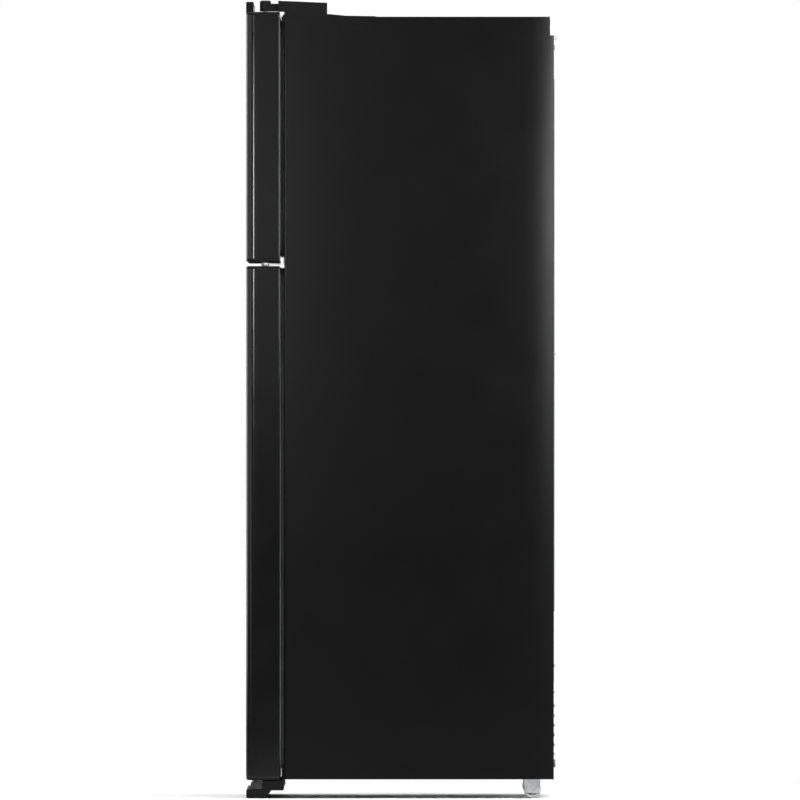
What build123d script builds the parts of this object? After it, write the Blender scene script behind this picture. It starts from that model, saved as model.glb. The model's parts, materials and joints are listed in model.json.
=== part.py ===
from build123d import *
import os

# Top freezer refrigerator. Millimetres, +Z up, doors towards -Y, hinges on the +X side.
# Origin: on the floor, below the middle of the cabinet's overall box.

# ---- driving dimensions ----
WIDTH = 700.0               # across the side panels and the doors
DEPTH = 705.0               # door front to the rear corner caps
DOOR_THICK = 76.0
GASKET_GAP = 10.0           # door back to cabinet front
REAR_CAP_OVERHANG = 12.0    # rear corner caps behind the back panel

CABINET_BOTTOM = 43.0
CABINET_TOP = 1759.0
FRIDGE_DOOR = (41.0, 1198.0)      # bottom and top of the door body
FREEZER_DOOR = (1207.0, 1770.0)
LIP_TOP = 1793.0            # raised front lip of the freezer door's top cap
LIP_THICK = 17.0

INNER_HALF = 290.0          # half the clear width of both compartments
FRIDGE_SPACE = (97.0, 1166.0)     # floor and ceiling of the fresh food compartment
FREEZER_SPACE = (1238.0, 1700.0)
LINER_BACK = 278.0
STEP_FRONT, STEP_TOP = 125.0, 305.0         # liner step over the machine compartment
MACHINE_FRONT, MACHINE_TOP = 165.0, 262.0   # machine compartment
SLANT = 40.0                # slanted corner of the step and of the machine compartment

SHEET = 1.0                 # steel sheet
PLASTIC = 2.0               # vacuum-formed liner
WALL = 2.5                  # moulded bins and drawers

BEVEL_DEPTH, BEVEL_WIDTH = 20.0, 20.0       # curved front bevel of the door skins
DOOR_BACK_RADIUS = 6.0
CAP_RIM, CAP_PLUG = 5.0, 30.0     # visible rim and hidden plug of a door end cap
GRIP_X = (-330.0, -130.0)   # pocket grips between the doors, on the side away from the hinges
GRIP_HEIGHT, GRIP_DEPTH = 24.0, 36.0

HINGE_X, HINGE_Y = 325.0, -309.0
PIN_RADIUS, PIN_FIT = 5.0, 0.1

DYKE_HALF, DYKE_THICK, DYKE_DEPTH = 270.0, 26.0, 75.0
BIN_REACH = 96.5            # door bins behind the door back

SHELF_FRONT, SHELF_BACK = -160.0, 262.0
SHELF_LEVELS = (322.0, 460.0, 690.0, 920.0)     # crisper cover and three glass shelves
GLASS = 4.0
FREEZER_SHELF_LEVEL = 1470.0

FOOT_X, FOOT_Y = 321.0, -330.0
ROLLER_X, ROLLER_Y, ROLLER_RADIUS = 300.0, 292.0, 20.0
CLEAR = 0.4                 # play between parts that slide past each other

# ---- planes worked out from them ----
HALF = WIDTH / 2
DOOR_FRONT = -DEPTH / 2
DOOR_BACK = DOOR_FRONT + DOOR_THICK
CABINET_FRONT = DOOR_BACK + GASKET_GAP
CABINET_BACK = DEPTH / 2 - REAR_CAP_OVERHANG
FLANGE_INNER = INNER_HALF + PLASTIC
DYKE_BACK = DOOR_BACK + DYKE_DEPTH
BIN_BACK = DOOR_BACK + BIN_REACH
GAP_TAB_Y = {
    1: (CABINET_FRONT - 3.5, CABINET_FRONT),        # clear of the doors' swinging back corners
    -1: (DOOR_BACK + 0.8, CABINET_FRONT),           # just short of the closed doors
}


# ---- small building blocks ----
def block(x, y, z):
    """Box between the two ends given for each axis."""
    size = Box(x[1] - x[0], y[1] - y[0], z[1] - z[0])
    return Pos((x[0] + x[1]) / 2, (y[0] + y[1]) / 2, (z[0] + z[1]) / 2) * size


def rod(axis, centre, radius, ends):
    """Cylinder along axis X, Y or Z, through centre (the other two coordinates)."""
    length, middle = ends[1] - ends[0], (ends[0] + ends[1]) / 2
    body = Cylinder(radius, length)
    if axis == "X":
        return Pos(middle, centre[0], centre[1]) * Rot(0, 90, 0) * body
    if axis == "Y":
        return Pos(centre[0], middle, centre[1]) * Rot(90, 0, 0) * body
    return Pos(centre[0], centre[1], middle) * body


def side_profile(points, x):
    """Prism along X from an outline of (y, z) points."""
    plane = Plane(origin=(x[0], 0, 0), x_dir=(0, 1, 0), z_dir=(1, 0, 0))
    return extrude(plane * make_face(Polyline(*points, close=True)), amount=x[1] - x[0])


def ring(half, z, width, y):
    """Rectangular frame facing Y."""
    outer = block((-half, half), y, z)
    inner = block((width - half, half - width), (y[0] - 1, y[1] + 1), (z[0] + width, z[1] - width))
    return outer - inner


def fused(pieces):
    """One solid from touching pieces."""
    whole = pieces[0]
    for piece in pieces[1:]:
        whole = whole + piece
    return whole


def mirrored(piece):
    return mirror(piece, about=Plane.YZ)


# ---- cabinet ----
def side_panel():
    """Right side panel: folded front flange, square notch at the top rear corner."""
    z = (CABINET_BOTTOM, CABINET_TOP)
    plate = block((HALF - SHEET, HALF), (CABINET_FRONT, CABINET_BACK), z)
    flange = block((FLANGE_INNER, HALF), (CABINET_FRONT, CABINET_FRONT + SHEET), z)
    panel = plate + flange
    rolled = panel.edges().filter_by(Axis.Z).sort_by_distance((HALF, CABINET_FRONT, 900))[0]
    panel = fillet(rolled, 0.9)
    notch = block((HALF - 5, HALF + 1), (CABINET_BACK - 9, CABINET_BACK + 1),
                  (CABINET_TOP - 42, CABINET_TOP + 1))
    return panel - notch


def top_panel():
    inner = HALF - SHEET
    plate = block((-inner, inner), (CABINET_FRONT + SHEET, CABINET_BACK),
                  (CABINET_TOP - SHEET, CABINET_TOP))
    flange = block((-FLANGE_INNER, FLANGE_INNER), (CABINET_FRONT, CABINET_FRONT + SHEET),
                   (FREEZER_SPACE[1] + PLASTIC, CABINET_TOP))
    corner = block((HALF - 42, HALF), (CABINET_BACK - 9, CABINET_BACK + 1),
                   (CABINET_TOP - 5, CABINET_TOP + 1))
    return plate + flange - corner - mirrored(corner)


def top_front_cover():
    """Low plastic cover over the front of the top, with a recess for the hinge foot.

    A tab at each end closes the gap behind the door, above the seal."""
    z = CABINET_TOP
    outline = [(CABINET_FRONT, z), (CABINET_FRONT, z + 4.5), (CABINET_FRONT + 2, z + 6),
               (-165, z + 6), (-128, z + 2.4), (-60, z + 1.2), (-60, z)]
    recess = block((258, 348), (CABINET_FRONT - 1, -176), (z - 1, z + 10))
    cover = side_profile(outline, (-HALF, HALF)) - recess
    tabs = [block(sorted((side * (HALF - 6), side * HALF)), GAP_TAB_Y[side], (z - 14, top))
            for side, top in ((1, z + 4.5), (-1, FREEZER_DOOR[1] - 0.5))]
    return fused([cover] + tabs)


def back_panel():
    """Back sheet with two stiffening beads."""
    inner = HALF - SHEET
    plate = block((-inner, inner), (CABINET_BACK - SHEET, CABINET_BACK),
                  (MACHINE_TOP, CABINET_TOP - SHEET))
    corner = block((HALF - 42, HALF), (CABINET_BACK - 5, CABINET_BACK + 1),
                   (CABINET_TOP - 46, CABINET_TOP))
    plate = plate - corner - mirrored(corner)
    for x in (-180, 180):
        plate = plate + block((x - 12, x + 12), (CABINET_BACK, CABINET_BACK + 2), (420, 1620))
    return plate


def base_plate():
    """Bottom sheet with the front rail, the left foot bracket and both roller forks."""
    inner = HALF - SHEET
    z = CABINET_BOTTOM
    pieces = [
        block((-inner, inner), (CABINET_FRONT + SHEET, CABINET_BACK - 2 * SHEET), (z, z + 1.5)),
        block((-FLANGE_INNER, FLANGE_INNER), (CABINET_FRONT, CABINET_FRONT + 1.5),
              (z, FRIDGE_SPACE[0] - PLASTIC)),
        mirrored(foot_bracket()),
    ]
    for side in (-1, 1):
        for offset in (-14, 14):
            x = side * ROLLER_X + offset
            pieces.append(block((x - 1.5, x + 1.5), (ROLLER_Y - 18, ROLLER_Y + 18), (12, z)))
        axle = (side * ROLLER_X - 17, side * ROLLER_X + 17)
        pieces.append(rod("X", (ROLLER_Y, ROLLER_RADIUS), 4, axle))
    return fused(pieces)


def foot_bracket():
    """Steel angle on the cabinet's lower right front edge, reaching out below the door."""
    x = (298, 344)
    tongue = side_profile([(-344, 21), (-341, 37), (-318, 37), (-316, 25), (-316, 21)], x)
    plate = block(x, (-330, CABINET_FRONT), (21, 26))
    flange = block(x, (CABINET_FRONT - 3, CABINET_FRONT), (21, 64))
    bore = rod("Z", (FOOT_X, FOOT_Y), PIN_RADIUS + PIN_FIT, (10, 45))
    return tongue + plate + flange - bore


def bottom_hinge():
    """Foot bracket that also carries the fridge door's lower pin."""
    centre = (HINGE_X, HINGE_Y)
    boss = rod("Z", centre, 7, (25, FRIDGE_DOOR[0] - CLEAR))
    pin = rod("Z", centre, PIN_RADIUS, (30, FRIDGE_DOOR[0] + 22))
    return foot_bracket() + boss + pin


def cabinet_outline():
    return block((SHEET - HALF, HALF - SHEET), (CABINET_FRONT + 1.5, CABINET_BACK - SHEET),
                 (CABINET_BOTTOM + 1.5, CABINET_TOP - SHEET))


def fridge_cavity(grow):
    """Fresh food compartment with its step, grown by the liner's thickness where asked."""
    floor, ceiling = FRIDGE_SPACE[0] - grow, FRIDGE_SPACE[1] + grow
    front, back = CABINET_FRONT - 1, LINER_BACK + grow
    step_y, step_z = STEP_FRONT + grow, STEP_TOP - grow
    outline = [(front, floor), (step_y, floor), (step_y, step_z - SLANT),
               (step_y + SLANT, step_z), (back, step_z), (back, ceiling), (front, ceiling)]
    return side_profile(outline, (-INNER_HALF - grow, INNER_HALF + grow))


def freezer_cavity(grow):
    half = INNER_HALF + grow
    return block((-half, half), (CABINET_FRONT - 1, LINER_BACK + grow),
                 (FREEZER_SPACE[0] - grow, FREEZER_SPACE[1] + grow))


def machine_space():
    back = CABINET_BACK + 1
    outline = [(MACHINE_FRONT, 40), (MACHINE_FRONT, MACHINE_TOP - SLANT),
               (MACHINE_FRONT + SLANT, MACHINE_TOP), (back, MACHINE_TOP), (back, 40)]
    return side_profile(outline, (-HALF, HALF))


def cabinet_foam():
    corner = block((HALF - 4, HALF), (CABINET_BACK - 9, CABINET_BACK), (CABINET_TOP - 42, CABINET_TOP))
    foam = cabinet_outline() - fridge_cavity(PLASTIC) - freezer_cavity(PLASTIC) - machine_space()
    return foam - corner - mirrored(corner)


def trimmed_front(piece):
    """Cuts a cavity back to the plane of the cabinet front."""
    return piece - block((-HALF, HALF), (CABINET_FRONT - 5, CABINET_FRONT), (0, CABINET_TOP))


def ledges(levels, back):
    """Pairs of moulded ledges on the side walls, one pair below each level."""
    pieces = []
    for level in levels:
        for side in (-1, 1):
            x = sorted((side * (INNER_HALF - 7), side * (INNER_HALF + 1)))
            pieces.append(block(x, (SHELF_FRONT, back), (level - 6, level)))
    return pieces


def fridge_liner():
    shell = trimmed_front(fridge_cavity(PLASTIC)) - fridge_cavity(0)
    drawer_rails = ledges([212], STEP_FRONT + 1)
    return fused([shell] + ledges([z - 10 for z in SHELF_LEVELS], 262) + drawer_rails)


def freezer_liner():
    shell = trimmed_front(freezer_cavity(PLASTIC)) - freezer_cavity(0)
    return fused([shell] + ledges([FREEZER_SHELF_LEVEL - 8], 200))


def mullion_rail():
    return block((-FLANGE_INNER, FLANGE_INNER), (CABINET_FRONT, CABINET_FRONT + 1.5),
                 (FRIDGE_SPACE[1] + PLASTIC, FREEZER_SPACE[0] - PLASTIC))


def rear_corner_cap():
    """Pale plastic cap in the notch at the top rear corner, proud of the back and the top."""
    y = (CABINET_BACK - 9, CABINET_BACK + REAR_CAP_OVERHANG)
    cap = block((HALF - 40, HALF), y, (CABINET_TOP - 42, CABINET_TOP + 4))
    cap = cap - block((HALF - 41, HALF - 3), (y[0] - 1, CABINET_BACK), (CABINET_TOP - 43, CABINET_TOP))
    edges = cap.edges().filter_by(Axis.X).group_by(Axis.Y)[-1]
    return fillet(edges, 3)


# ---- hinges ----
def top_hinge():
    """Joggled steel bracket on the cabinet top, with the freezer door's upper pin."""
    z = CABINET_TOP
    centre = (HINGE_X, HINGE_Y)
    arm_z = (FREEZER_DOOR[1] + 1.5, FREEZER_DOOR[1] + 5.5)
    pieces = [
        block((266, 342), (CABINET_FRONT, -180), (z, z + 4)),
        block((311, 339), (CABINET_FRONT, CABINET_FRONT + 4), (z, arm_z[1])),
        block((314, 336), (HINGE_Y, CABINET_FRONT + 4), arm_z),
        rod("Z", centre, 11, arm_z),
        rod("Z", centre, PIN_RADIUS, (FREEZER_DOOR[1] - 22, arm_z[1])),
    ]
    return fused(pieces)


def hinge_cover_form(inset):
    """Domed boss over the pin, low arm, and the long box over the bracket's foot."""
    low = CABINET_TOP + 6
    top_front, top_rear = CABINET_TOP + 36 - inset, CABINET_TOP + 31.5 - inset
    y = (-280 + inset, -170 - inset)
    box = side_profile([(y[0], FREEZER_DOOR[1] + 1), (y[0], top_front), (y[1], top_rear),
                        (y[1], low - inset), (CABINET_FRONT + inset, low - inset),
                        (CABINET_FRONT + inset, FREEZER_DOOR[1] + 1)], (256 + inset, 348 - inset))
    arm = block((311 + inset, 339 - inset), (HINGE_Y, -275), (FREEZER_DOOR[1] + 1, CABINET_TOP + 29.5 - inset))
    boss_top = CABINET_TOP + 37 - inset
    boss = rod("Z", (HINGE_X, HINGE_Y), 12.6 - inset, (FREEZER_DOOR[1] + 1, boss_top))
    boss = fillet(boss.edges().group_by(Axis.Z)[-1], 5)
    return box + arm + boss


def top_hinge_cover():
    solid = hinge_cover_form(0)
    below = block((250, 355), (-330, -160), (1700, FREEZER_DOOR[1] + 1.2))
    rear_rim = block((250, 355), (CABINET_FRONT, -160), (CABINET_TOP + 6, FREEZER_DOOR[1] + 1.2))
    inner = hinge_cover_form(1.5)
    arm_slot = block((310, 340), (CABINET_FRONT - 1, CABINET_FRONT + 4), (CABINET_TOP, FREEZER_DOOR[1] + 7))
    return solid - (below - rear_rim) - inner - arm_slot


def centre_hinge():
    """Zinc-plated angle between the doors: one pin up, one pin down, nylon washers."""
    middle = (FRIDGE_DOOR[1] + FREEZER_DOOR[0]) / 2
    centre = (HINGE_X, HINGE_Y)
    plate_z = (middle - 1.5, middle + 1.5)
    pieces = [
        block((HINGE_X - 16, HINGE_X + 16), (HINGE_Y, CABINET_FRONT), plate_z),
        rod("Z", centre, 11, plate_z),
        rod("Z", centre, 9, (FRIDGE_DOOR[1] + CLEAR, FREEZER_DOOR[0] - CLEAR)),
        rod("Z", centre, PIN_RADIUS, (FRIDGE_DOOR[1] - 20, FREEZER_DOOR[0] + 20)),
        block((HINGE_X - 30, HINGE_X + 22), (CABINET_FRONT - 3, CABINET_FRONT),
              (middle - 1.5, middle + 15)),
    ]
    return fused(pieces)


def kick_plate():
    """Low front cover below the fridge door: full width, closed ends, ears over the brackets.

    A tab on each ear closes the end of the gap behind the door, below the seal."""
    end = HALF - 3
    profile = [(DOOR_FRONT + 0.5, 1.5), (DOOR_FRONT + 0.5, 19), (DOOR_FRONT + 2, 20.5),
               (-294, 20.5), (-307, 1.5)]
    hollow = [(DOOR_FRONT + 3.5, 0), (DOOR_FRONT + 3.5, 18), (-290, 18), (-305, 0)]
    body = side_profile(profile, (-end, end)) - side_profile(hollow, (3 - end, end - 3))
    body = body - block((3 - end, end - 3), (-310, -290), (0, 18))
    pieces = [body]
    for side in (-1, 1):
        x = sorted((side * (end - 3), side * end))
        pieces.append(block(x, (-315, -268), (18, FRIDGE_DOOR[0] - 1)))
        pieces.append(block(x, GAP_TAB_Y[side], (30, 68)))
    holes = [rod("Z", (side * FOOT_X, FOOT_Y), 8, (15, 25)) for side in (-1, 1)]
    return fused(pieces) - holes[0] - holes[1]


# ---- machine compartment and cold circuit ----
def compressor():
    """Welded compressor can on a base with four rubber mounts."""
    x, y, z = 190, 250, CABINET_BOTTOM + 1.5
    lower = Pos(x, y, z + 62) * extrude(SlotOverall(196, 132), 70, both=False)
    upper = Pos(x, y, z + 62) * extrude(SlotOverall(190, 126), -44)
    can = lower + upper
    can = fillet(can.edges().group_by(Axis.Z)[-1], 30)
    base = block((x - 88, x + 88), (y - 62, y + 62), (z + 14, z + 18))
    mounts = [rod("Z", (x + i * 76, y + j * 50), 9, (z, z + 15)) for i in (-1, 1) for j in (-1, 1)]
    box = block((x + 97, x + 122), (y - 26, y + 26), (z + 50, z + 110))
    tube = rod("Z", (x - 60, y - 30), 4, (z + 100, z + 160))
    return fused([can, base, box, tube] + mounts)


def finned_coil(x, y, z, rows, fins):
    """Tubes along X through a row of thin fins."""
    middle = (y[0] + y[1]) / 2
    pitch = (z[1] - z[0]) / rows
    pieces = []
    for row in range(rows):
        level = z[0] + pitch * (row + 0.5)
        pieces.append(rod("X", (middle, level), 4, x))
    gap = (x[1] - x[0] - 30) / (fins - 1)
    for fin in range(fins):
        start = x[0] + 14 + gap * fin
        pieces.append(block((start, start + 1.2), y, z))
    for end in x:
        pieces.append(block((end - 2, end + 2), (middle - 4, middle + 4), (z[0] + 2, z[1] - 2)))
    return fused(pieces)


def drain_pan():
    tray = block((-330, -130), (182, 322), (52, 92))
    return tray - block((-330 + WALL, -130 - WALL), (182 + WALL, 322 - WALL), (52 + WALL, 93))


def machine_cover():
    """Slotted rear cover, and the gland that a mains lead would leave through."""
    y = (CABINET_BACK - 3, CABINET_BACK - 1)
    cover = block((2 - HALF, HALF - 2), y, (CABINET_BOTTOM + 3, MACHINE_TOP - 2))
    for row in range(6):
        for column in (-1, 0, 1):
            z = 90 + 22 * row
            x = 220 * column
            cover = cover - block((x - 80, x + 80), (y[0] - 1, y[1] + 1), (z, z + 6))
    gland = rod("Y", (-320, 70), 9, (y[0] - 8, y[1] + 8))
    return cover + gland - rod("Y", (-320, 70), 4, (y[0] - 9, y[1] + 9))


FAN_X, FAN_Z, FAN_RADIUS = 0.0, 1590.0, 52.0
DUCT_Y = 205.0              # front face of the freezer's rear duct panel


def fan_motor():
    body = rod("Y", (FAN_X, FAN_Z), 24, (238, 262))
    shaft = rod("Y", (FAN_X, FAN_Z), 3, (212, 240))
    arms = [block((FAN_X - 62, FAN_X + 62), (248, 252), (FAN_Z - 5, FAN_Z + 5)),
            block((FAN_X - 5, FAN_X + 5), (248, 252), (FAN_Z - 62, FAN_Z + 62))]
    return fused([body, shaft] + arms)


def evaporator_fan():
    """Hub and seven pitched blades."""
    hub = rod("Y", (FAN_X, FAN_Z), 15, (214, 232))
    blades = []
    for turn in range(7):
        blade = Pos(0, 0, 31) * Rot(0, 0, 28) * Box(26, 2, 38)
        blades.append(Pos(FAN_X, 223, FAN_Z) * Rot(0, turn * 360 / 7, 0) * blade)
    bore = rod("Y", (FAN_X, FAN_Z), 3 + PIN_FIT, (200, 240))
    return fused([hub] + blades) - bore


def freezer_duct_panel():
    """Rear panel of the freezer with a fan grille, and return slots at its foot."""
    half = INNER_HALF - 1
    z = (FREEZER_SPACE[0] + 1, FREEZER_SPACE[1] - 1)
    panel = block((-half, half), (DUCT_Y, DUCT_Y + 3), z)
    panel = panel - rod("Y", (FAN_X, FAN_Z), 56, (DUCT_Y - 1, DUCT_Y + 4))
    bars = [block((-57, 57), (DUCT_Y, DUCT_Y + 3), (FAN_Z + row * 14 - 2, FAN_Z + row * 14 + 2))
            for row in range(-3, 4)]
    for slot in range(-5, 6):
        x = slot * 46
        panel = panel - block((x - 18, x + 18), (DUCT_Y - 1, DUCT_Y + 4), (z[0] + 12, z[0] + 20))
    return fused([panel] + bars)


def fridge_duct():
    """Air tower on the back wall of the fresh food compartment, with outlets at each shelf."""
    y = (LINER_BACK - 14, LINER_BACK)
    tower = block((-60, 60), y, (480, 1160))
    tower = tower - block((-57, 57), (y[0] + 2.5, y[1] + 1), (483, 1157))
    for level in (560, 790, 1020):
        for side in (-1, 1):
            x = sorted((side * 14, side * 48))
            for row in range(3):
                tower = tower - block(x, (y[0] - 1, y[0] + 4), (level + 12 * row, level + 12 * row + 5))
    return tower


# ---- fresh food compartment fittings ----
CONTROL_FRONT = -90.0
DIAL_X, DIAL_Z, DIAL_RADIUS = -50.0, 1144.0, 20.0
SWITCH_X, SWITCH_Z = 215.0, 1143.0


def control_box():
    """Ceiling control housing, and the light switch housing beside it."""
    top = FRIDGE_SPACE[1]
    box = block((-110, 110), (CONTROL_FRONT, 70), (1126, top))
    box = box - block((-107, 107), (CONTROL_FRONT + 3, 67), (1125, top - 3))
    spindle = rod("Y", (DIAL_X, DIAL_Z), 4, (CONTROL_FRONT - 10, CONTROL_FRONT + 1))
    slot = block((18, 92), (CONTROL_FRONT - 1, CONTROL_FRONT + 4), (1143, 1149))
    housing = block((SWITCH_X - 10, SWITCH_X + 10), (-195, -160), (1133, top))
    bore = rod("Y", (SWITCH_X, SWITCH_Z), 3.9, (-196, -163))
    return [box + spindle - slot, housing - bore]


def lamp_cover():
    cover = block((-80, 80), (-20, 50), (1110, 1126))
    cover = fillet(cover.edges().group_by(Axis.Z)[0], 6)
    return cover - block((-77, 77), (-17, 47), (1113, 1127))


def temperature_dial():
    """Ribbed knob with a pointer ridge."""
    y = (CONTROL_FRONT - 14, CONTROL_FRONT - CLEAR)
    knob = rod("Y", (DIAL_X, DIAL_Z), DIAL_RADIUS, y)
    ridge = block((DIAL_X - 3, DIAL_X + 3), (y[0] - 6, y[0] + 1), (DIAL_Z - 17, DIAL_Z + 17))
    bore = rod("Y", (DIAL_X, DIAL_Z), 4 + PIN_FIT, (CONTROL_FRONT - 10.5, CONTROL_FRONT + 1))
    return knob + ridge - bore


def slider(x, front, z, height):
    """Thumb piece on the front of a slot, with a stem inside it."""
    tab = block((x - 8, x + 8), (front - 5, front - CLEAR), (z - height / 2, z + height / 2))
    stem = block((x - 4, x + 4), (front - 1, front + 3.5), (z - 2.6, z + 2.6))
    return tab + stem


def light_switch_plunger():
    return rod("Y", (SWITCH_X, SWITCH_Z), 3.5, (DYKE_BACK + CLEAR, -166))


def shelf_glass():
    """Four equal panes of tempered glass."""
    x = (15 - INNER_HALF, INNER_HALF - 15)
    return [block(x, (SHELF_FRONT + 9, SHELF_BACK - 9), (level, level + GLASS)) for level in SHELF_LEVELS]


def shelf_frame(level):
    """Moulded frame round one pane, deeper along the front edge."""
    half = INNER_HALF - 3
    z = (level - 10, level + GLASS + 2)
    frame = block((-half, half), (SHELF_FRONT, SHELF_BACK), z)
    pane = block((12 - half, half - 12), (SHELF_FRONT + 9, SHELF_BACK - 9), (level, level + 20))
    below = block((20 - half, half - 20), (SHELF_FRONT + 16, SHELF_BACK - 16), (level - 20, level + 20))
    front_top = block((-half, half), (SHELF_FRONT - 1, SHELF_FRONT + 9), (level + GLASS + 2, level + 20))
    return frame - pane - below - front_top


HUMIDITY_X = 140.0


def shelf_frames():
    """Frames of all four panes, and the chiller drawer's hanging rails."""
    frames = [shelf_frame(level) for level in SHELF_LEVELS]
    middle = SHELF_LEVELS[0] - 2
    for side in (-1, 1):
        x = side * HUMIDITY_X
        frames[0] = frames[0] - block((x - 34, x + 34), (SHELF_FRONT - 1, SHELF_FRONT + 4),
                                      (middle - 3, middle + 3))
    rails = []
    top = SHELF_LEVELS[1] - 10
    for side in (-1, 1):
        web = block(sorted((side * 271, side * 274)), (SHELF_FRONT + 16, 150), (CHILLER[1] - 6, top))
        lip = block(sorted((side * 264, side * 274)), (SHELF_FRONT + 16, 150),
                    (CHILLER[1] - 6, CHILLER[1] - 3 - CLEAR))
        rails.append(web + lip)
    return frames + rails


# ---- drawers ----
CRISPER_X = (6.0, 268.0)
CRISPER = (FRIDGE_SPACE[0] + CLEAR, 298.0)
CRISPER_BACK = 115.0
CHILLER = (350.0, 446.0)


def drawer(x, y, z, grip):
    """Open tray with a thicker front and a finger ledge along the front's top edge."""
    outer = block(x, y, z)
    inner = block((x[0] + WALL, x[1] - WALL), (y[0] + 5, y[1] - WALL), (z[0] + WALL, z[1] + 1))
    middle = (x[0] + x[1]) / 2
    ledge = block((middle - grip, middle + grip), (y[0] - 8, y[0] + 1), (z[1] - 6, z[1] - 2))
    return outer - inner + ledge


def crisper():
    return drawer(CRISPER_X, (SHELF_FRONT + 4, CRISPER_BACK), CRISPER, 70)


def chiller_drawer():
    """Shallow tray of welded panels, with a finger ledge and two flanges that hang on the rails."""
    half, y, z = 262, (SHELF_FRONT + 4, 140), CHILLER
    upright = (z[0] + WALL, z[1])
    panels = [
        block((-half, half), y, (z[0], z[0] + WALL)),
        block((-half, half), (y[0], y[0] + 5), upright),
        block((-half, half), (y[1] - WALL, y[1]), upright),
        block((-110, 110), (y[0] - 8, y[0]), (z[1] - 6, z[1] - 2)),
    ]
    for side in (-1, 1):
        panels.append(block(sorted((side * (half - WALL), side * half)), (y[0] + 5, y[1] - WALL), upright))
        panels.append(block(sorted((side * half, side * (half + 8))), (y[0] + 14, y[1]), (z[1] - 3, z[1])))
    return panels


# ---- freezer fittings ----
TRAY_AXES = (-220.0, -118.0)
TRAY_Z = 1382.0
TRAY_Y = (-126.0, 126.0)
ICE_BIN = ((-276.0, -62.0), (-140.0, 130.0), (FREEZER_SPACE[0] + CLEAR, 1326.0))


def freezer_shelf():
    """Glass-look shelf across the freezer with a raised front trim."""
    half = INNER_HALF - 3
    plate = block((-half, half), (SHELF_FRONT + 12, 200), (FREEZER_SHELF_LEVEL - 8, FREEZER_SHELF_LEVEL - 3))
    half = INNER_HALF - 8
    trim = block((-half, half), (SHELF_FRONT + 4, SHELF_FRONT + 14),
                 (FREEZER_SHELF_LEVEL - 16, FREEZER_SHELF_LEVEL + 2))
    return plate + trim


def ice_tray_frame():
    """Two end plates hung from a top plate below the freezer shelf."""
    x = (-278, -60)
    top = FREEZER_SHELF_LEVEL - 17
    pieces = [block(x, (TRAY_Y[0] - 4, TRAY_Y[1] + 4), (top - 3, top))]
    for y in ((TRAY_Y[0] - 4, TRAY_Y[0]), (TRAY_Y[1], TRAY_Y[1] + 4)):
        plate = block(x, y, (TRAY_Z - 38, top - 2))
        for axis in TRAY_AXES:
            plate = plate - rod("Y", (axis, TRAY_Z), 8 + PIN_FIT, (y[0] - 1, y[1] + 1))
        pieces.append(plate)
    return fused(pieces)


def ice_tray(axis):
    """Twist tray of fourteen cups on two journals, with a thumb lever in front."""
    y = (TRAY_Y[0] + CLEAR, TRAY_Y[1] - CLEAR)
    tray = block((axis - 44, axis + 44), y, (TRAY_Z - 12, TRAY_Z + 16))
    pitch = (y[1] - y[0] - 8) / 7
    for row in range(7):
        start = y[0] + 4 + pitch * row
        for column in (axis - 41, axis + 1.5):
            tray = tray - block((column, column + 39.5), (start + 1, start + pitch - 1),
                                (TRAY_Z - 9, TRAY_Z + 17))
    front = rod("Y", (axis, TRAY_Z), 8, (y[0] - 14, y[0] + 1))
    rear = rod("Y", (axis, TRAY_Z), 8, (y[1] - 1, y[1] + 5))
    lever = block((axis - 7, axis + 7), (y[0] - 14, y[0] - 5), (TRAY_Z - 10, TRAY_Z + 34))
    return fused([tray, front, rear, lever])


def ice_bin():
    return drawer(*ICE_BIN, 50)


# ---- doors ----
def door_section(inset, back):
    """Plan outline: flat front, curved bevels that end in a crease, rounded back corners."""
    half, front = HALF - inset, DOOR_FRONT + inset
    crease = DOOR_FRONT + BEVEL_DEPTH
    radius = max(DOOR_BACK_RADIUS - inset, 1)
    start = half - BEVEL_WIDTH + inset / 2
    right_mid = (half - 0.24 * BEVEL_WIDTH, front + 0.36 * BEVEL_DEPTH)
    left_mid = (-right_mid[0], right_mid[1])
    lines = [
        Line((-start, front), (start, front)),
        ThreePointArc((start, front), right_mid, (half, crease)),
        Line((half, crease), (half, back - radius)),
        RadiusArc((half, back - radius), (half - radius, back), -radius),
        Line((half - radius, back), (radius - half, back)),
        RadiusArc((radius - half, back), (-half, back - radius), -radius),
        Line((-half, back - radius), (-half, crease)),
        ThreePointArc((-half, crease), left_mid, (-start, front)),
    ]
    return make_face(Curve() + lines)


def door_prism(inset, back, z):
    return Pos(0, 0, z[0]) * extrude(door_section(inset, back), z[1] - z[0])


def grip_recess(z):
    """Finger recess at a door end, open to the front."""
    recess = block(GRIP_X, (DOOR_FRONT - 1, DOOR_FRONT + GRIP_DEPTH), z)
    back_edges = recess.edges().filter_by(Axis.X).group_by(Axis.Y)[-1]
    return fillet(back_edges, 8)


def grips(door):
    """Recess at the end of a door that faces the other door."""
    if door == FREEZER_DOOR:
        return grip_recess((door[0] - 9, door[0] + GRIP_HEIGHT))
    return grip_recess((door[1] - GRIP_HEIGHT, door[1] + 9))


def door_skin(door):
    """Wrapped steel skin between the end caps."""
    z = (door[0] + CAP_RIM, door[1] - CAP_RIM)
    inner = door_prism(SHEET, DOOR_BACK - SHEET, (z[0] - 1, z[1] + 1))
    window = block((4 - HALF + 10, HALF - 14), (DOOR_BACK - 5, DOOR_BACK + 1), (z[0] - 1, z[1] + 1))
    return door_prism(0, DOOR_BACK, z) - inner - window - grips(door)


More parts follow.
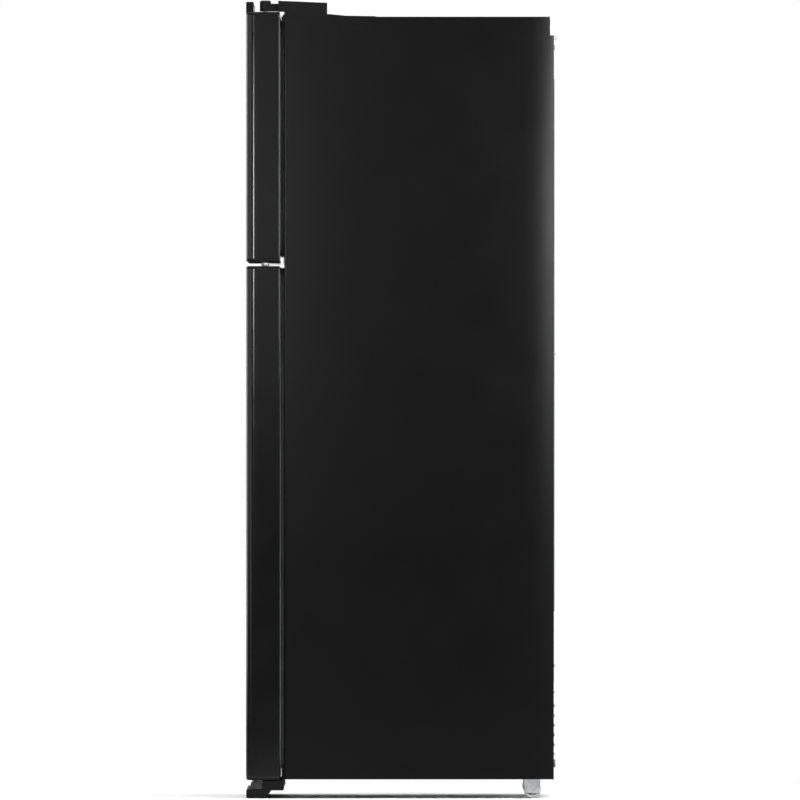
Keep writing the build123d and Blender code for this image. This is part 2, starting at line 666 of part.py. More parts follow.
def cap_end(z, inward):
    """Rim with softened outer edges, and the plug that sits in the skin."""
    rim = door_prism(0, DOOR_BACK, z)
    outer_face = rim.edges().group_by(Axis.Z)[0 if inward > 0 else -1]
    front_edges = outer_face.group_by(Axis.Y)[0]
    rim = chamfer(front_edges, 3.5)
    plug_z = (z[1], z[1] + CAP_PLUG - CAP_RIM) if inward > 0 else (z[0] - CAP_PLUG + CAP_RIM, z[0])
    return rim + door_prism(SHEET, DOOR_FRONT + GRIP_DEPTH + 24, plug_z)


def door_caps(door):
    """Bottom and top end caps with their pin sockets. The freezer's top cap has the lip."""
    bottom = cap_end((door[0], door[0] + CAP_RIM), 1)
    top = cap_end((door[1] - CAP_RIM, door[1]), -1)
    if door == FREEZER_DOOR:
        lip = door_prism(0, DOOR_BACK, (door[1] - 3, LIP_TOP))
        lip = lip - block((-HALF, HALF), (DOOR_FRONT + LIP_THICK, 0), (door[1] - 4, LIP_TOP + 1))
        lip = lip - block((HINGE_X - 2, HALF + 1), (DOOR_FRONT - 1, 0), (door[1], LIP_TOP + 1))
        top = top + lip
    caps = []
    for cap in (bottom, top):
        cap = cap - grips(door)
        caps.append(cap - rod("Z", (HINGE_X, HINGE_Y), PIN_RADIUS + PIN_FIT, socket_ends(door, cap)))
    return caps


def socket_ends(door, cap):
    """Depth of a pin socket, from outside the door to 24 mm inside it."""
    middle = cap.bounding_box().center().Z
    if middle > (door[0] + door[1]) / 2:
        return (door[1] - 24, door[1] + 1)
    return (door[0] - 1, door[0] + 24)


def dyke_levels(door):
    """Bottom and top of the raised frame on a door's inside."""
    space = FREEZER_SPACE if door == FREEZER_DOOR else FRIDGE_SPACE
    return (space[0] + 15, space[1] - 16)


def dyke(door, inset):
    low, high = dyke_levels(door)
    y = (DOOR_BACK - 1 - inset, DYKE_BACK - inset)
    return ring(DYKE_HALF - inset, (low + inset, high - inset), DYKE_THICK - 2 * inset, y)


PLATE_HALF = HALF - 12


def door_liner(door):
    """Formed inner sheet with a hollow raised frame that carries the bins."""
    z = (door[0] + CAP_RIM + 4, door[1] - 3)
    plate = block((-PLATE_HALF, PLATE_HALF), (DOOR_BACK, DOOR_BACK + PLASTIC), z)
    liner = plate + dyke(door, 0) - dyke(door, PLASTIC)
    liner = liner - block((-HALF, HALF), (DOOR_BACK - 5, DOOR_BACK), (0, 1800))
    if door == FRIDGE_DOOR:
        liner = liner - rod("X", (DAIRY_Y, DAIRY_Z), 3 + PIN_FIT, (-255, 255))
    return liner


def door_foam(door):
    """Insulation that fills the door and its raised inner frame."""
    z = (door[0] + CAP_RIM, door[1] - CAP_RIM)
    core = door_prism(SHEET, DOOR_BACK - SHEET, z)
    shape = block((-HALF, HALF), (DOOR_FRONT - 1, DOOR_FRONT + GRIP_DEPTH + 24), (z[0] - 1, z[0] + 26))
    upper = block((-HALF, HALF), (DOOR_FRONT - 1, DOOR_FRONT + GRIP_DEPTH + 24), (z[1] - 26, z[1] + 1))
    foam = core - shape - upper
    backing = block((14 - HALF, HALF - 14), (DOOR_BACK - SHEET, DOOR_BACK), (z[0] + 4, z[1] - 4))
    foam = foam + backing + dyke(door, PLASTIC)
    if door == FRIDGE_DOOR:
        foam = foam - rod("X", (DAIRY_Y, DAIRY_Z), 3 + PIN_FIT, (-DYKE_HALF + 20, DYKE_HALF - 20))
    return foam


def door_gasket(door):
    """Magnetic seal round the door's inside edge, just clear of the cabinet when closed."""
    space = FREEZER_SPACE if door == FREEZER_DOOR else FRIDGE_SPACE
    z = (space[0] - 18, space[1] + 52) if door == FREEZER_DOOR else (space[0] - 30, space[1] + 29)
    body = ring(322, z, 24, (DOOR_BACK + PLASTIC, CABINET_FRONT - CLEAR))
    return body


def door_bin(z, reach):
    """Open-backed shelf between the raised frames: floor, front and two ends."""
    half = DYKE_HALF - DYKE_THICK - CLEAR
    y = (DOOR_BACK + PLASTIC + CLEAR, DOOR_BACK + reach)
    outer = block((-half, half), y, z)
    return outer - block((WALL - half, half - WALL), (y[0] - 1, y[1] - WALL), (z[0] + WALL, z[1] + 1))


def freezer_door_bins():
    return [door_bin(z, BIN_REACH) for z in ((1282, 1352), (1482, 1552))]


DAIRY_Y, DAIRY_Z = -213.0, 1096.0


def fridge_door_bins():
    """Three bins, and the tray of the dairy compartment."""
    bins = [door_bin(z, BIN_REACH) for z in ((140, 250), (450, 540), (740, 830))]
    return bins + [door_bin((1016, 1040), BIN_REACH - 6)]


def dairy_cover():
    """Clear cover of the dairy compartment: bent sheet, two cheeks and their pivot pins."""
    half = DYKE_HALF - DYKE_THICK - CLEAR
    front = BIN_BACK
    outer = [(DAIRY_Y - 5, DAIRY_Z + 5), (front - 12, DAIRY_Z + 5), (front, DAIRY_Z - 7),
             (front, 1024), (front - 2.5, 1024), (front - 2.5, DAIRY_Z - 8),
             (front - 13, DAIRY_Z + 2.5), (DAIRY_Y - 5, DAIRY_Z + 2.5)]
    cheek = [(DAIRY_Y - 5, DAIRY_Z + 5), (front - 12, DAIRY_Z + 5), (front, DAIRY_Z - 7),
             (front, 1056), (DAIRY_Y + 6, DAIRY_Z - 6), (DAIRY_Y - 5, DAIRY_Z - 5)]
    pieces = [side_profile(outer, (-half, half))]
    for side in (-1, 1):
        pieces.append(side_profile(cheek, sorted((side * (half - 2), side * half))))
        pin = sorted((side * (half - 1), side * (half + 5)))
        pieces.append(rod("X", (DAIRY_Y, DAIRY_Z), 3, pin))
    return fused(pieces)


# ---- feet, rollers and fasteners ----
def levelling_foot():
    """Threaded stud on a round pad, at the right front corner."""
    centre = (FOOT_X, FOOT_Y)
    pad = rod("Z", centre, 17, (0, 8))
    pad = chamfer(pad.edges().group_by(Axis.Z)[-1], 3)
    stud = rod("Z", centre, PIN_RADIUS, (7, 39))
    nut = Pos(FOOT_X, FOOT_Y, 8) * extrude(RegularPolygon(7.5, 6), 7)
    return pad + stud + nut


def roller():
    """Rear wheel on the right: crowned rim, hub bore running on the fixed axle."""
    wheel = rod("X", (ROLLER_Y, ROLLER_RADIUS), ROLLER_RADIUS, (ROLLER_X - 12, ROLLER_X + 12))
    wheel = fillet(wheel.edges().filter_by(GeomType.CIRCLE), 2)
    return wheel - rod("X", (ROLLER_Y, ROLLER_RADIUS), 4 + PIN_FIT, (ROLLER_X - 13, ROLLER_X + 13))


def screw_sites():
    """Axis, centre, seat and outward direction of every visible screw."""
    middle = (FRIDGE_DOOR[1] + FREEZER_DOOR[0]) / 2
    sites = [("Z", centre, CABINET_TOP + 4, 1) for centre in ((282, -235), (326, -235), (304, -200))]
    sites += [("Y", (HINGE_X + offset, middle + 8), CABINET_FRONT, -1) for offset in (-23, 15)]
    for side in (-1, 1):
        sites += [("Y", (side * 321, 54), CABINET_FRONT, -1)]
        sites += [("Y", (side * 330, z), CABINET_BACK - 1, 1) for z in (100, 240)]
        sites += [("Y", (side * 335, z), CABINET_BACK, 1) for z in (300, 1000, 1690)]
    return sites


def screw(axis, centre, seat, direction):
    """Flat-head screw standing on its seat, with the shank below it."""
    head = rod(axis, centre, 5.5, sorted((seat, seat + direction * 3)))
    return head + rod(axis, centre, 2, sorted((seat - direction * 6, seat)))


def drilled(piece):
    """Cuts the screws' holes, with counterbores where a head lies flush in a flange."""
    for site in screw_sites():
        piece = piece - screw(*site)
    return piece


DRILLED = ("side_panel_right", "side_panel_left", "top_panel", "back_panel", "base_plate", "cabinet_foam",
           "mullion_rail", "machine_cover", "top_hinge", "centre_hinge", "bottom_hinge")


def condenser():
    return finned_coil((-110, 60), (215, 315), (60, 230), 6, 16)


def evaporator():
    return finned_coil((-235, 235), (226, 268), (1262, 1462), 7, 30)


def build():
    right_foot, right_roller, right_crisper = levelling_foot(), roller(), crisper()
    humidity_z = SHELF_LEVELS[0] - 2
    nodes = {
        "side_panel_right": side_panel(),
        "side_panel_left": mirrored(side_panel()),
        "top_panel": top_panel(),
        "top_front_cover": top_front_cover(),
        "back_panel": back_panel(),
        "base_plate": base_plate(),
        "cabinet_foam": cabinet_foam(),
        "freezer_liner": freezer_liner(),
        "fridge_liner": fridge_liner(),
        "mullion_rail": mullion_rail(),
        "rear_corner_caps": [rear_corner_cap(), mirrored(rear_corner_cap())],
        "top_hinge": top_hinge(),
        "top_hinge_cover": top_hinge_cover(),
        "centre_hinge": centre_hinge(),
        "bottom_hinge": bottom_hinge(),
        "kick_plate": kick_plate(),
        "compressor": compressor(),
        "drain_pan": drain_pan(),
        "condenser": condenser(),
        "machine_cover": machine_cover(),
        "evaporator": evaporator(),
        "fan_motor": fan_motor(),
        "freezer_duct_panel": freezer_duct_panel(),
        "fridge_duct": fridge_duct(),
        "control_box": control_box(),
        "lamp_cover": lamp_cover(),
        "freezer_shelf": freezer_shelf(),
        "shelf_glass": shelf_glass(),
        "shelf_frames": shelf_frames(),
        "ice_tray_frame": ice_tray_frame(),
        "screws": [screw(*site) for site in screw_sites()],
        "levelling_foot_right": right_foot,
        "levelling_foot_left": mirrored(right_foot),
        "roller_right": right_roller,
        "roller_left": mirrored(right_roller),
        "evaporator_fan": evaporator_fan(),
        "temperature_dial": temperature_dial(),
        "freezer_slider": slider(55, CONTROL_FRONT, 1146, 12),
        "humidity_slider_right": slider(HUMIDITY_X, SHELF_FRONT, humidity_z, 12),
        "humidity_slider_left": slider(-HUMIDITY_X, SHELF_FRONT, humidity_z, 12),
        "light_switch_plunger": light_switch_plunger(),
        "ice_tray_left": ice_tray(TRAY_AXES[0]),
        "ice_tray_right": ice_tray(TRAY_AXES[1]),
        "ice_bin": ice_bin(),
        "chiller_drawer": chiller_drawer(),
        "crisper_right": right_crisper,
        "crisper_left": mirrored(right_crisper),
        "freezer_door_bins": freezer_door_bins(),
        "fridge_door_bins": fridge_door_bins(),
        "dairy_cover": dairy_cover(),
    }
    for name, door in (("freezer", FREEZER_DOOR), ("fridge", FRIDGE_DOOR)):
        nodes[f"{name}_door_skin"] = door_skin(door)
        nodes[f"{name}_door_caps"] = door_caps(door)
        nodes[f"{name}_door_liner"] = door_liner(door)
        nodes[f"{name}_door_foam"] = door_foam(door)
        nodes[f"{name}_door_gasket"] = door_gasket(door)
    for name in DRILLED:
        nodes[name] = drilled(nodes[name])
    return nodes


os.makedirs("parts", exist_ok=True)
for node, shape in build().items():
    solids = shape if isinstance(shape, list) else [shape]
    whole = Compound(children=[solid for piece in solids for solid in piece.solids()])
    export_step(whole, f"parts/{node}.step")
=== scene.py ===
import json
import math

import bmesh
import bpy
from mathutils import Matrix, Vector


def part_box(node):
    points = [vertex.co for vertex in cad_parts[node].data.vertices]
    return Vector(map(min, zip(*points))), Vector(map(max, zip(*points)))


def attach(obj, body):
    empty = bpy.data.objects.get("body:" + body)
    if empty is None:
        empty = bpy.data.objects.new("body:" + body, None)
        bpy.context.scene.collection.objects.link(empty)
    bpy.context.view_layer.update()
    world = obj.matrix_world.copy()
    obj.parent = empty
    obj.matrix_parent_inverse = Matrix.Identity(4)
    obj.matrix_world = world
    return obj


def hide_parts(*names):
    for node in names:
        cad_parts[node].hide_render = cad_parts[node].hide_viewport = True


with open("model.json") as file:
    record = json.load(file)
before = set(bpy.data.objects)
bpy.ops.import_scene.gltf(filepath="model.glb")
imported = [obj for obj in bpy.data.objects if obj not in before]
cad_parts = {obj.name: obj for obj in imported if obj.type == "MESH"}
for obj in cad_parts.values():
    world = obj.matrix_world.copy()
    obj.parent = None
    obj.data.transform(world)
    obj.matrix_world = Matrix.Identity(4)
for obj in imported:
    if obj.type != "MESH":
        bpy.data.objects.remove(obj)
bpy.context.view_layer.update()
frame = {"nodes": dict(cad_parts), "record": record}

MM = 0.001
SMUDGE_SHARE = 0.4          # size of the roughness patches, as a share of the colour patches
NODES = frame["nodes"]
SLOT_OF = {part["node"]: part["material_slot"] for part in frame["record"]["subparts"]}
BODY_OF = {node: body for body, nodes in frame["record"]["behaviour"]["bodies"].items() for node in nodes}


def extent(node):
    """Ends of a node along X, Y and Z, in millimetres."""
    low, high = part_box(node)
    return [(low[i] / MM, high[i] / MM) for i in range(3)]


# ---- procedural finishes ----
def grey(value):
    return (value, value, value, 1.0)


def add_noise(nodes, links, coordinates, feature_mm, detail):
    """Noise whose features are about feature_mm across, in the object's own coordinates."""
    noise = nodes.new("ShaderNodeTexNoise")
    noise.inputs["Scale"].default_value = 1 / (feature_mm * MM)
    noise.inputs["Detail"].default_value = detail
    links.new(coordinates, noise.inputs["Vector"])
    return noise.outputs["Fac"]


def add_range(nodes, links, value, ends, source=(0.3, 0.7)):
    """Maps a value from one range to another, clamped."""
    scaled = nodes.new("ShaderNodeMapRange")
    scaled.inputs["From Min"].default_value, scaled.inputs["From Max"].default_value = source
    scaled.inputs["To Min"].default_value, scaled.inputs["To Max"].default_value = ends
    links.new(value, scaled.inputs["Value"])
    return scaled.outputs["Result"]


def add_ramp(nodes, links, value, colours, ends=(0.3, 0.7)):
    ramp = nodes.new("ShaderNodeValToRGB")
    for element, position, colour in zip(ramp.color_ramp.elements, ends, colours):
        element.position, element.color = position, colour
    links.new(value, ramp.inputs["Fac"])
    return ramp.outputs["Color"]


def add_bump(nodes, links, height, depth_mm, normal=None):
    bump = nodes.new("ShaderNodeBump")
    bump.inputs["Strength"].default_value = 1.0
    bump.inputs["Distance"].default_value = depth_mm * MM
    links.new(height, bump.inputs["Height"])
    if normal:
        links.new(normal, bump.inputs["Normal"])
    return bump.outputs["Normal"]


def finish(name, dark, light, rough, grain, blotch_mm=60.0, wave=None, edge=None, polish=None, **constants):
    """Material with blotchy colour, uneven roughness and a fine surface grain.

    grain is (feature, depth) in millimetres; wave adds a second, larger unevenness in the same form.
    edge may change the normal and polish the roughness, by place on the object."""
    material = bpy.data.materials.new(name)
    material.use_nodes = True
    nodes, links = material.node_tree.nodes, material.node_tree.links
    shader = nodes["Principled BSDF"]
    coordinates = nodes.new("ShaderNodeTexCoord").outputs["Object"]
    blotch = add_noise(nodes, links, coordinates, blotch_mm, 4.0)
    fine = add_noise(nodes, links, coordinates, grain[0], 2.0)
    links.new(add_ramp(nodes, links, blotch, (dark, light)), shader.inputs["Base Color"])
    smudge = add_noise(nodes, links, coordinates, blotch_mm * SMUDGE_SHARE, 3.0)
    roughness = add_range(nodes, links, smudge, rough)
    if polish:
        roughness = polish(nodes, links, coordinates, roughness)
    links.new(roughness, shader.inputs["Roughness"])
    normal = None
    if wave:
        swell = add_noise(nodes, links, coordinates, wave[0], 1.0)
        normal = add_bump(nodes, links, swell, wave[1])
    if edge:
        normal = edge(nodes, links, coordinates, normal)
    normal = add_bump(nodes, links, fine, grain[1], normal=normal)
    links.new(normal, shader.inputs["Normal"])
    for socket, value in constants.items():
        shader.inputs[socket.replace("_", " ")].default_value = value
    return material


PANEL_FRONT, PANEL_REAR = extent("side_panel_right")[1]
FOLD_WIDTH, FOLD_SHARE = 6.0, 0.35          # smoother front fold, and its share of the roughness
ROLL_WIDTH, ROLL_DEPTH, ROLL_POWER = 80.0, 8.0, 2.6


def front_fold(nodes, links, coordinates, roughness):
    """The side sheets' folded front edge is smoother than the textured flat."""
    split = nodes.new("ShaderNodeSeparateXYZ")
    links.new(coordinates, split.inputs["Vector"])
    share = add_range(nodes, links, split.outputs["Y"], (FOLD_SHARE, 1.0),
                      (PANEL_FRONT * MM, (PANEL_FRONT + FOLD_WIDTH) * MM))
    product = nodes.new("ShaderNodeMath")
    product.operation = "MULTIPLY"
    links.new(roughness, product.inputs[0])
    links.new(share, product.inputs[1])
    return product.outputs["Value"]


def rear_roll(nodes, links, coordinates, normal):
    """Bump that tilts the side sheets' normals as if they rolled gently inward over the last centimetres
    before the back.
    """
    split = nodes.new("ShaderNodeSeparateXYZ")
    links.new(coordinates, split.inputs["Vector"])
    along = add_range(nodes, links, split.outputs["Y"], (0.0, 1.0),
                      ((PANEL_REAR - ROLL_WIDTH) * MM, PANEL_REAR * MM))
    power = nodes.new("ShaderNodeMath")
    power.operation = "POWER"
    power.inputs[1].default_value = ROLL_POWER
    links.new(along, power.inputs[0])
    inverse = nodes.new("ShaderNodeMath")
    inverse.operation = "SUBTRACT"
    inverse.inputs[0].default_value = 1.0
    links.new(power.outputs["Value"], inverse.inputs[1])
    return add_bump(nodes, links, inverse.outputs["Value"], ROLL_DEPTH, normal=normal)


def spec(*values, **options):
    """Arguments of a finish, without its name."""
    return values, options


SPECS = {
    "textured_black": spec(grey(0.0012), grey(0.0018), (0.35, 0.40), (2.2, 0.05),
                           blotch_mm=300, edge=rear_roll, polish=front_fold, Specular_IOR_Level=0.10),
    "gloss_black_steel": spec(grey(0.0020), grey(0.0030), (0.15, 0.20), (0.8, 0.001),
                              blotch_mm=220, wave=(70, 0.003), Specular_IOR_Level=0.3),
    "black_plastic": spec(grey(0.002), grey(0.0035), (0.38, 0.48), (0.9, 0.03),
                          Specular_IOR_Level=0.12),
    "back_sheet": spec(grey(0.06), grey(0.085), (0.42, 0.52), (1.6, 0.05), blotch_mm=120,
                       Metallic=0.2),
    "galvanised": spec((0.40, 0.41, 0.42, 1), (0.62, 0.63, 0.64, 1), (0.30, 0.48), (1.2, 0.02),
                       blotch_mm=14, Metallic=0.95),
    "zinc": spec((0.46, 0.47, 0.48, 1), (0.68, 0.68, 0.67, 1), (0.26, 0.40), (0.7, 0.015),
                 blotch_mm=7, Metallic=1.0),
    "dark_steel": spec(grey(0.012), grey(0.022), (0.34, 0.46), (0.8, 0.025), blotch_mm=12,
                       Metallic=0.3),
    "foam": spec((0.62, 0.52, 0.30, 1), (0.74, 0.65, 0.42, 1), (0.80, 0.92), (2.2, 0.3),
                 blotch_mm=30),
    "liner_white": spec((0.735, 0.745, 0.75, 1), (0.755, 0.765, 0.765, 1), (0.27, 0.32),
                        (1.0, 0.008), blotch_mm=260, wave=(60, 0.008)),
    "white_plastic": spec((0.72, 0.73, 0.73, 1), (0.79, 0.795, 0.79, 1), (0.32, 0.42),
                          (0.8, 0.02)),
    "pale_grey_plastic": spec((0.40, 0.405, 0.405, 1), (0.46, 0.465, 0.46, 1), (0.36, 0.48),
                              (0.8, 0.025), blotch_mm=16),
    "clear_plastic": spec((0.80, 0.88, 0.92, 1), (0.88, 0.94, 0.96, 1), (0.04, 0.09),
                          (3.0, 0.006), Transmission_Weight=0.9, IOR=1.49),
    "glass": spec((0.80, 0.92, 0.88, 1), (0.86, 0.95, 0.92, 1), (0.01, 0.04), (6.0, 0.002),
                  Transmission_Weight=0.96, IOR=1.5),
    "seal": spec(grey(0.11), grey(0.15), (0.48, 0.60), (0.6, 0.02), blotch_mm=24),
    "roller_plastic": spec(grey(0.16), grey(0.22), (0.40, 0.55), (0.7, 0.03), blotch_mm=12),
    "compressor_black": spec(grey(0.010), grey(0.018), (0.24, 0.36), (1.6, 0.03),
                             blotch_mm=40),
    "coil_aluminium": spec((0.60, 0.61, 0.62, 1), (0.78, 0.78, 0.78, 1), (0.28, 0.42),
                           (0.8, 0.015), blotch_mm=16, Metallic=1.0),
    "coil_black": spec(grey(0.012), grey(0.022), (0.34, 0.48), (0.9, 0.03), blotch_mm=18),
    "fan_grey": spec(grey(0.10), grey(0.14), (0.34, 0.46), (0.8, 0.02), blotch_mm=14),
}

FINISHES = {slot: finish(slot, *values, **options) for slot, (values, options) in SPECS.items()}


# ---- mesh building ----
def linked(name, data):
    """New object in the scene."""
    made = bpy.data.objects.new(name, data)
    bpy.context.scene.collection.objects.link(made)
    return made


def closed_mesh(name, vertices, faces):
    """Mesh from points in millimetres, with its faces turned outwards."""
    mesh = bpy.data.meshes.new(name)
    mesh.from_pydata([Vector(point) * MM for point in vertices], [], faces)
    work = bmesh.new()
    work.from_mesh(mesh)
    bmesh.ops.recalc_face_normals(work, faces=work.faces)
    work.to_mesh(mesh)
    work.free()
    return mesh


def piece(name, vertices, faces, node, stands_for=None, smooth=38):
    """Piece from points in millimetres. It takes the body and the finish of a node.

    It replaces that node, or the nodes in stands_for."""
    mesh = closed_mesh(name, vertices, faces)
    made = linked(name, mesh)
    shade(made, smooth)
    mesh.materials.append(FINISHES[SLOT_OF[node]])
    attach(made, BODY_OF[node])
    for replaced in ([node] if stands_for is None else stands_for):
        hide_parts(replaced)
    return made


def shade(made, angle):
    made.data.shade_smooth()
    made.data.set_sharp_from_angle(angle=math.radians(angle))


def placed(u, v, w, axis):
    """Point from two coordinates in a plane and one along an axis."""
    return {"X": (w, u, v), "Y": (u, w, v), "Z": (u, v, w)}[axis]


def loft(loops, axis, closed=False):
    """Vertices and faces of a skin through loops of (u, v) points, each at its own depth.

    A closed skin runs back to its first loop, any other one has a face at each end."""
    count = len(loops[0][0])
    vertices = [placed(u, v, depth, axis) for points, depth in loops for u, v in points]
    faces = []
    pairs = list(zip(range(len(loops) - 1), range(1, len(loops))))
    if closed:
        pairs.append((len(loops) - 1, 0))
    for low, high in pairs:
        for i in range(count):
            j = (i + 1) % count
            faces.append((low * count + i, low * count + j, high * count + j, high * count + i))
    if not closed:
        faces.append(tuple(range(count))[::-1])
        faces.append(tuple(range((len(loops) - 1) * count, len(loops) * count)))
    return vertices, faces


def joined(parts):
    """One set of vertices and faces from several."""
    vertices, faces = [], []
    for more, wanted in parts:
        offset = len(vertices)
        vertices += more
        faces += [tuple(index + offset for index in face) for face in wanted]
    return vertices, faces


def apply_modifiers(made):
    graph = bpy.context.evaluated_depsgraph_get()
    fresh = bpy.data.meshes.new_from_object(made.evaluated_get(graph))
    made.modifiers.clear()
    old, made.data = made.data, fresh
    bpy.data.meshes.remove(old)


def subtract(made, mesh):
    """Cuts a closed mesh out of an object, and removes that mesh."""
    tool = linked("cutter", mesh)
    modifier = made.modifiers.new("cut", "BOOLEAN")
    modifier.operation, modifier.solver, modifier.object = "DIFFERENCE", "EXACT", tool
    apply_modifiers(made)
    bpy.data.objects.remove(tool)
    bpy.data.meshes.remove(mesh)


def carve(made, vertices, faces, smooth):
    """Cuts a closed shape, in millimetres, out of a piece."""
    subtract(made, closed_mesh("cutter", vertices, faces))
    shade(made, smooth)


def rounded(u, v, radius, steps=6):
    """Rectangle with rounded corners, as points in order."""
    radius = max(min(radius, (u[1] - u[0]) / 2 - 0.01, (v[1] - v[0]) / 2 - 0.01), 0.01)
    corners = ((u[1] - radius, v[1] - radius, 0), (u[0] + radius, v[1] - radius, 90),
               (u[0] + radius, v[0] + radius, 180), (u[1] - radius, v[0] + radius, 270))
    points = []
    for cu, cv, start in corners:
        for i in range(steps + 1):
            angle = math.radians(start + 90 * i / steps)
            points.append((cu + radius * math.cos(angle), cv + radius * math.sin(angle)))
    return points


def inset(ends, amount):
    """Range made shorter by an amount at both ends."""
    return (ends[0] + amount, ends[1] - amount)


def soft_box(x, y, z, radius, edge, axis="Z"):
    """Box with rounded corners round an axis and softened edges at both ends."""
    u, v, w = {"X": (y, z, x), "Y": (x, z, y), "Z": (x, y, z)}[axis]
    loops = []
    for start, direction in ((w[0], 1), (w[1], -1)):
        part = []
        for i in range(4):
            angle = math.radians(90 * i / 3)
            shrink, along = edge * (1 - math.sin(angle)), edge * (1 - math.cos(angle))
            part.append((rounded(inset(u, shrink), inset(v, shrink), max(radius - shrink, 0.3), 5),
                         start + direction * along))
        loops += part if direction == 1 else part[::-1]
    return loft(loops, axis)


# ---- softened edges on the carried-over solids ----
def soften(node, width):
    """Merges the tessellation into flat faces and rounds the hard edges."""
    target = NODES[node]
    weld = target.modifiers.new("weld", "WELD")
    weld.merge_threshold = 0.00001
    flatten = target.modifiers.new("flatten", "DECIMATE")
    flatten.decimate_type = "DISSOLVE"
    flatten.angle_limit = math.radians(0.5)
    bevel = target.modifiers.new("bevel", "BEVEL")
    bevel.width = width * MM
    bevel.segments = 2
    bevel.limit_method = "ANGLE"
    bevel.angle_limit = math.radians(32)
    bevel.harden_normals = True


for node, made in NODES.items():
    made.data.materials.clear()
    made.data.materials.append(FINISHES[SLOT_OF[node]])


# ---- door skins and caps ----
def door_outline(half, front, back, shrink):
    """Plan outline of a door: flat front, curved bevels, softened crease, round back corners."""
    half, front, back = half - shrink, front + shrink, back - shrink
    points = []
    radius = max(BACK_RADIUS - shrink, 0.5)
    # Right side from the middle of the back to the middle of the front.
    for i in range(7):
        angle = math.radians(90 - 90 * i / 6)
        points.append((half - radius + radius * math.cos(angle), back - radius + radius * math.sin(angle)))
    crease = front + BEVEL_DEPTH
    arc = [(half, crease),
           (half - BEVEL_MIDDLE[0] * BEVEL_WIDTH, front + BEVEL_MIDDLE[1] * BEVEL_DEPTH),
           (half - BEVEL_WIDTH, front)]
    bevel = circle_through(*arc, 14)
    points += softened_corner((half, crease + 30), bevel[0], bevel[1], CREASE_RADIUS, 5)
    points += bevel[1:-1]
    points += softened_corner(bevel[-2], bevel[-1], (0, front), CREASE_RADIUS * 2, 3)
    return points + [(-x, y) for x, y in points[::-1]]


def circle_through(a, b, c, count):
    """Points on the arc from a through b to c."""
    ax, ay, bx, by, cx, cy = *a, *b, *c
    d = 2 * (ax * (by - cy) + bx * (cy - ay) + cx * (ay - by))
    ux = ((ax**2 + ay**2) * (by - cy) + (bx**2 + by**2) * (cy - ay) + (cx**2 + cy**2) * (ay - by)) / d
    uy = ((ax**2 + ay**2) * (cx - bx) + (bx**2 + by**2) * (ax - cx) + (cx**2 + cy**2) * (bx - ax)) / d
    radius = math.hypot(ax - ux, ay - uy)
    start, end = math.atan2(ay - uy, ax - ux), math.atan2(cy - uy, cx - ux)
    return [(ux + radius * math.cos(start + (end - start) * i / (count - 1)),
             uy + radius * math.sin(start + (end - start) * i / (count - 1))) for i in range(count)]


def softened_corner(before, corner, after, reach, count):
    """Corner point replaced by a short curve that starts and ends reach away from it."""
    p, a, b = Vector(corner), Vector(before), Vector(after)
    start, end = (p + (q - p).normalized() * min(reach, (q - p).length * 0.6) for q in (a, b))
    curve = []
    for i in range(count):
        t = i / (count - 1)
        point = start * (1 - t) ** 2 + p * 2 * t * (1 - t) + end * t ** 2
        curve.append((point.x, point.y))
    return curve


BACK_RADIUS, BEVEL_DEPTH, BEVEL_WIDTH, CREASE_RADIUS = 2.4, 20.0, 20.0, 2.2
BEVEL_MIDDLE = (0.24, 0.36)         # middle point of the bevel's arc, as shares of its width and depth
GRIP_X, GRIP_HEIGHT, GRIP_DEPTH = (-330.0, -130.0), 24.0, 36.0
CAP_RIM, SEAM = 5.0, 0.7


def grip_cutter(front, z):
    """Finger pocket with round corners and a flared mouth."""
    stations = [(-4, 1.6), (0, 1.6), (1.6, 0), (GRIP_DEPTH - 8, 0), (GRIP_DEPTH - 4, 1.1),
                (GRIP_DEPTH - 1.4, 3.6), (GRIP_DEPTH, 7.5)]
    loops = [(rounded(inset(GRIP_X, shrink), inset(z, shrink), 7 - shrink * 0.5), front + depth)
             for depth, shrink in stations]
    return loft(loops, "Y")


def door_shell(door):
    """Wrapped skin with its return edges just inside the caps."""
    node = f"{door}_door_skin"
    x, y, z = extent(node)
    levels = [(z[0], SEAM), (z[0] + SEAM, 0.15), (z[0] + 2 * SEAM, 0), (z[0] + 5 * SEAM, 0),
              (z[1] - 5 * SEAM, 0), (z[1] - 2 * SEAM, 0), (z[1] - SEAM, 0.15), (z[1], SEAM)]
    loops = [(door_outline(x[1], y[0], y[1], shrink), level) for level, shrink in levels]
    made = piece(f"{door}_door_wrap", *loft(loops, "Z"), node, smooth=30)
    carve(made, *grip_cutter(y[0], grip_levels(door)), smooth=30)


def grip_levels(door):
    """Bottom and top of a door's finger pocket, run out past the door's end."""
    z = extent(f"{door}_door_caps")[2] if door == "fridge" else FREEZER_BODY
    return (z[1] - GRIP_HEIGHT, z[1] + 12) if door == "fridge" else (z[0] - 12, z[0] + GRIP_HEIGHT)


FREEZER_BODY = (extent("freezer_door_caps")[2][0], extent("freezer_door_skin")[2][1] + CAP_RIM)

for door in ("freezer", "fridge"):
    door_shell(door)


def side_outline(x, y, sign):
    """Plan of a side sheet: front flange, rolled front edge, long flat side, rolled back edge."""
    outer = [(FLANGE_INNER, y[0])]
    outer += turn((x[1] - ROLL, y[0] + ROLL), ROLL, -90, 0, 7)
    outer += turn((x[1] - REAR_ROLL, y[1] - REAR_ROLL), REAR_ROLL, 0, 60, 5)
    inner = turn((x[1] - REAR_ROLL, y[1] - REAR_ROLL), REAR_ROLL - SHEET, 60, 0, 5)
    inner += turn((x[1] - ROLL, y[0] + ROLL), ROLL - SHEET, 0, -90, 7)
    inner.append((FLANGE_INNER, y[0] + SHEET))
    return [(sign * a, b) for a, b in outer + inner]


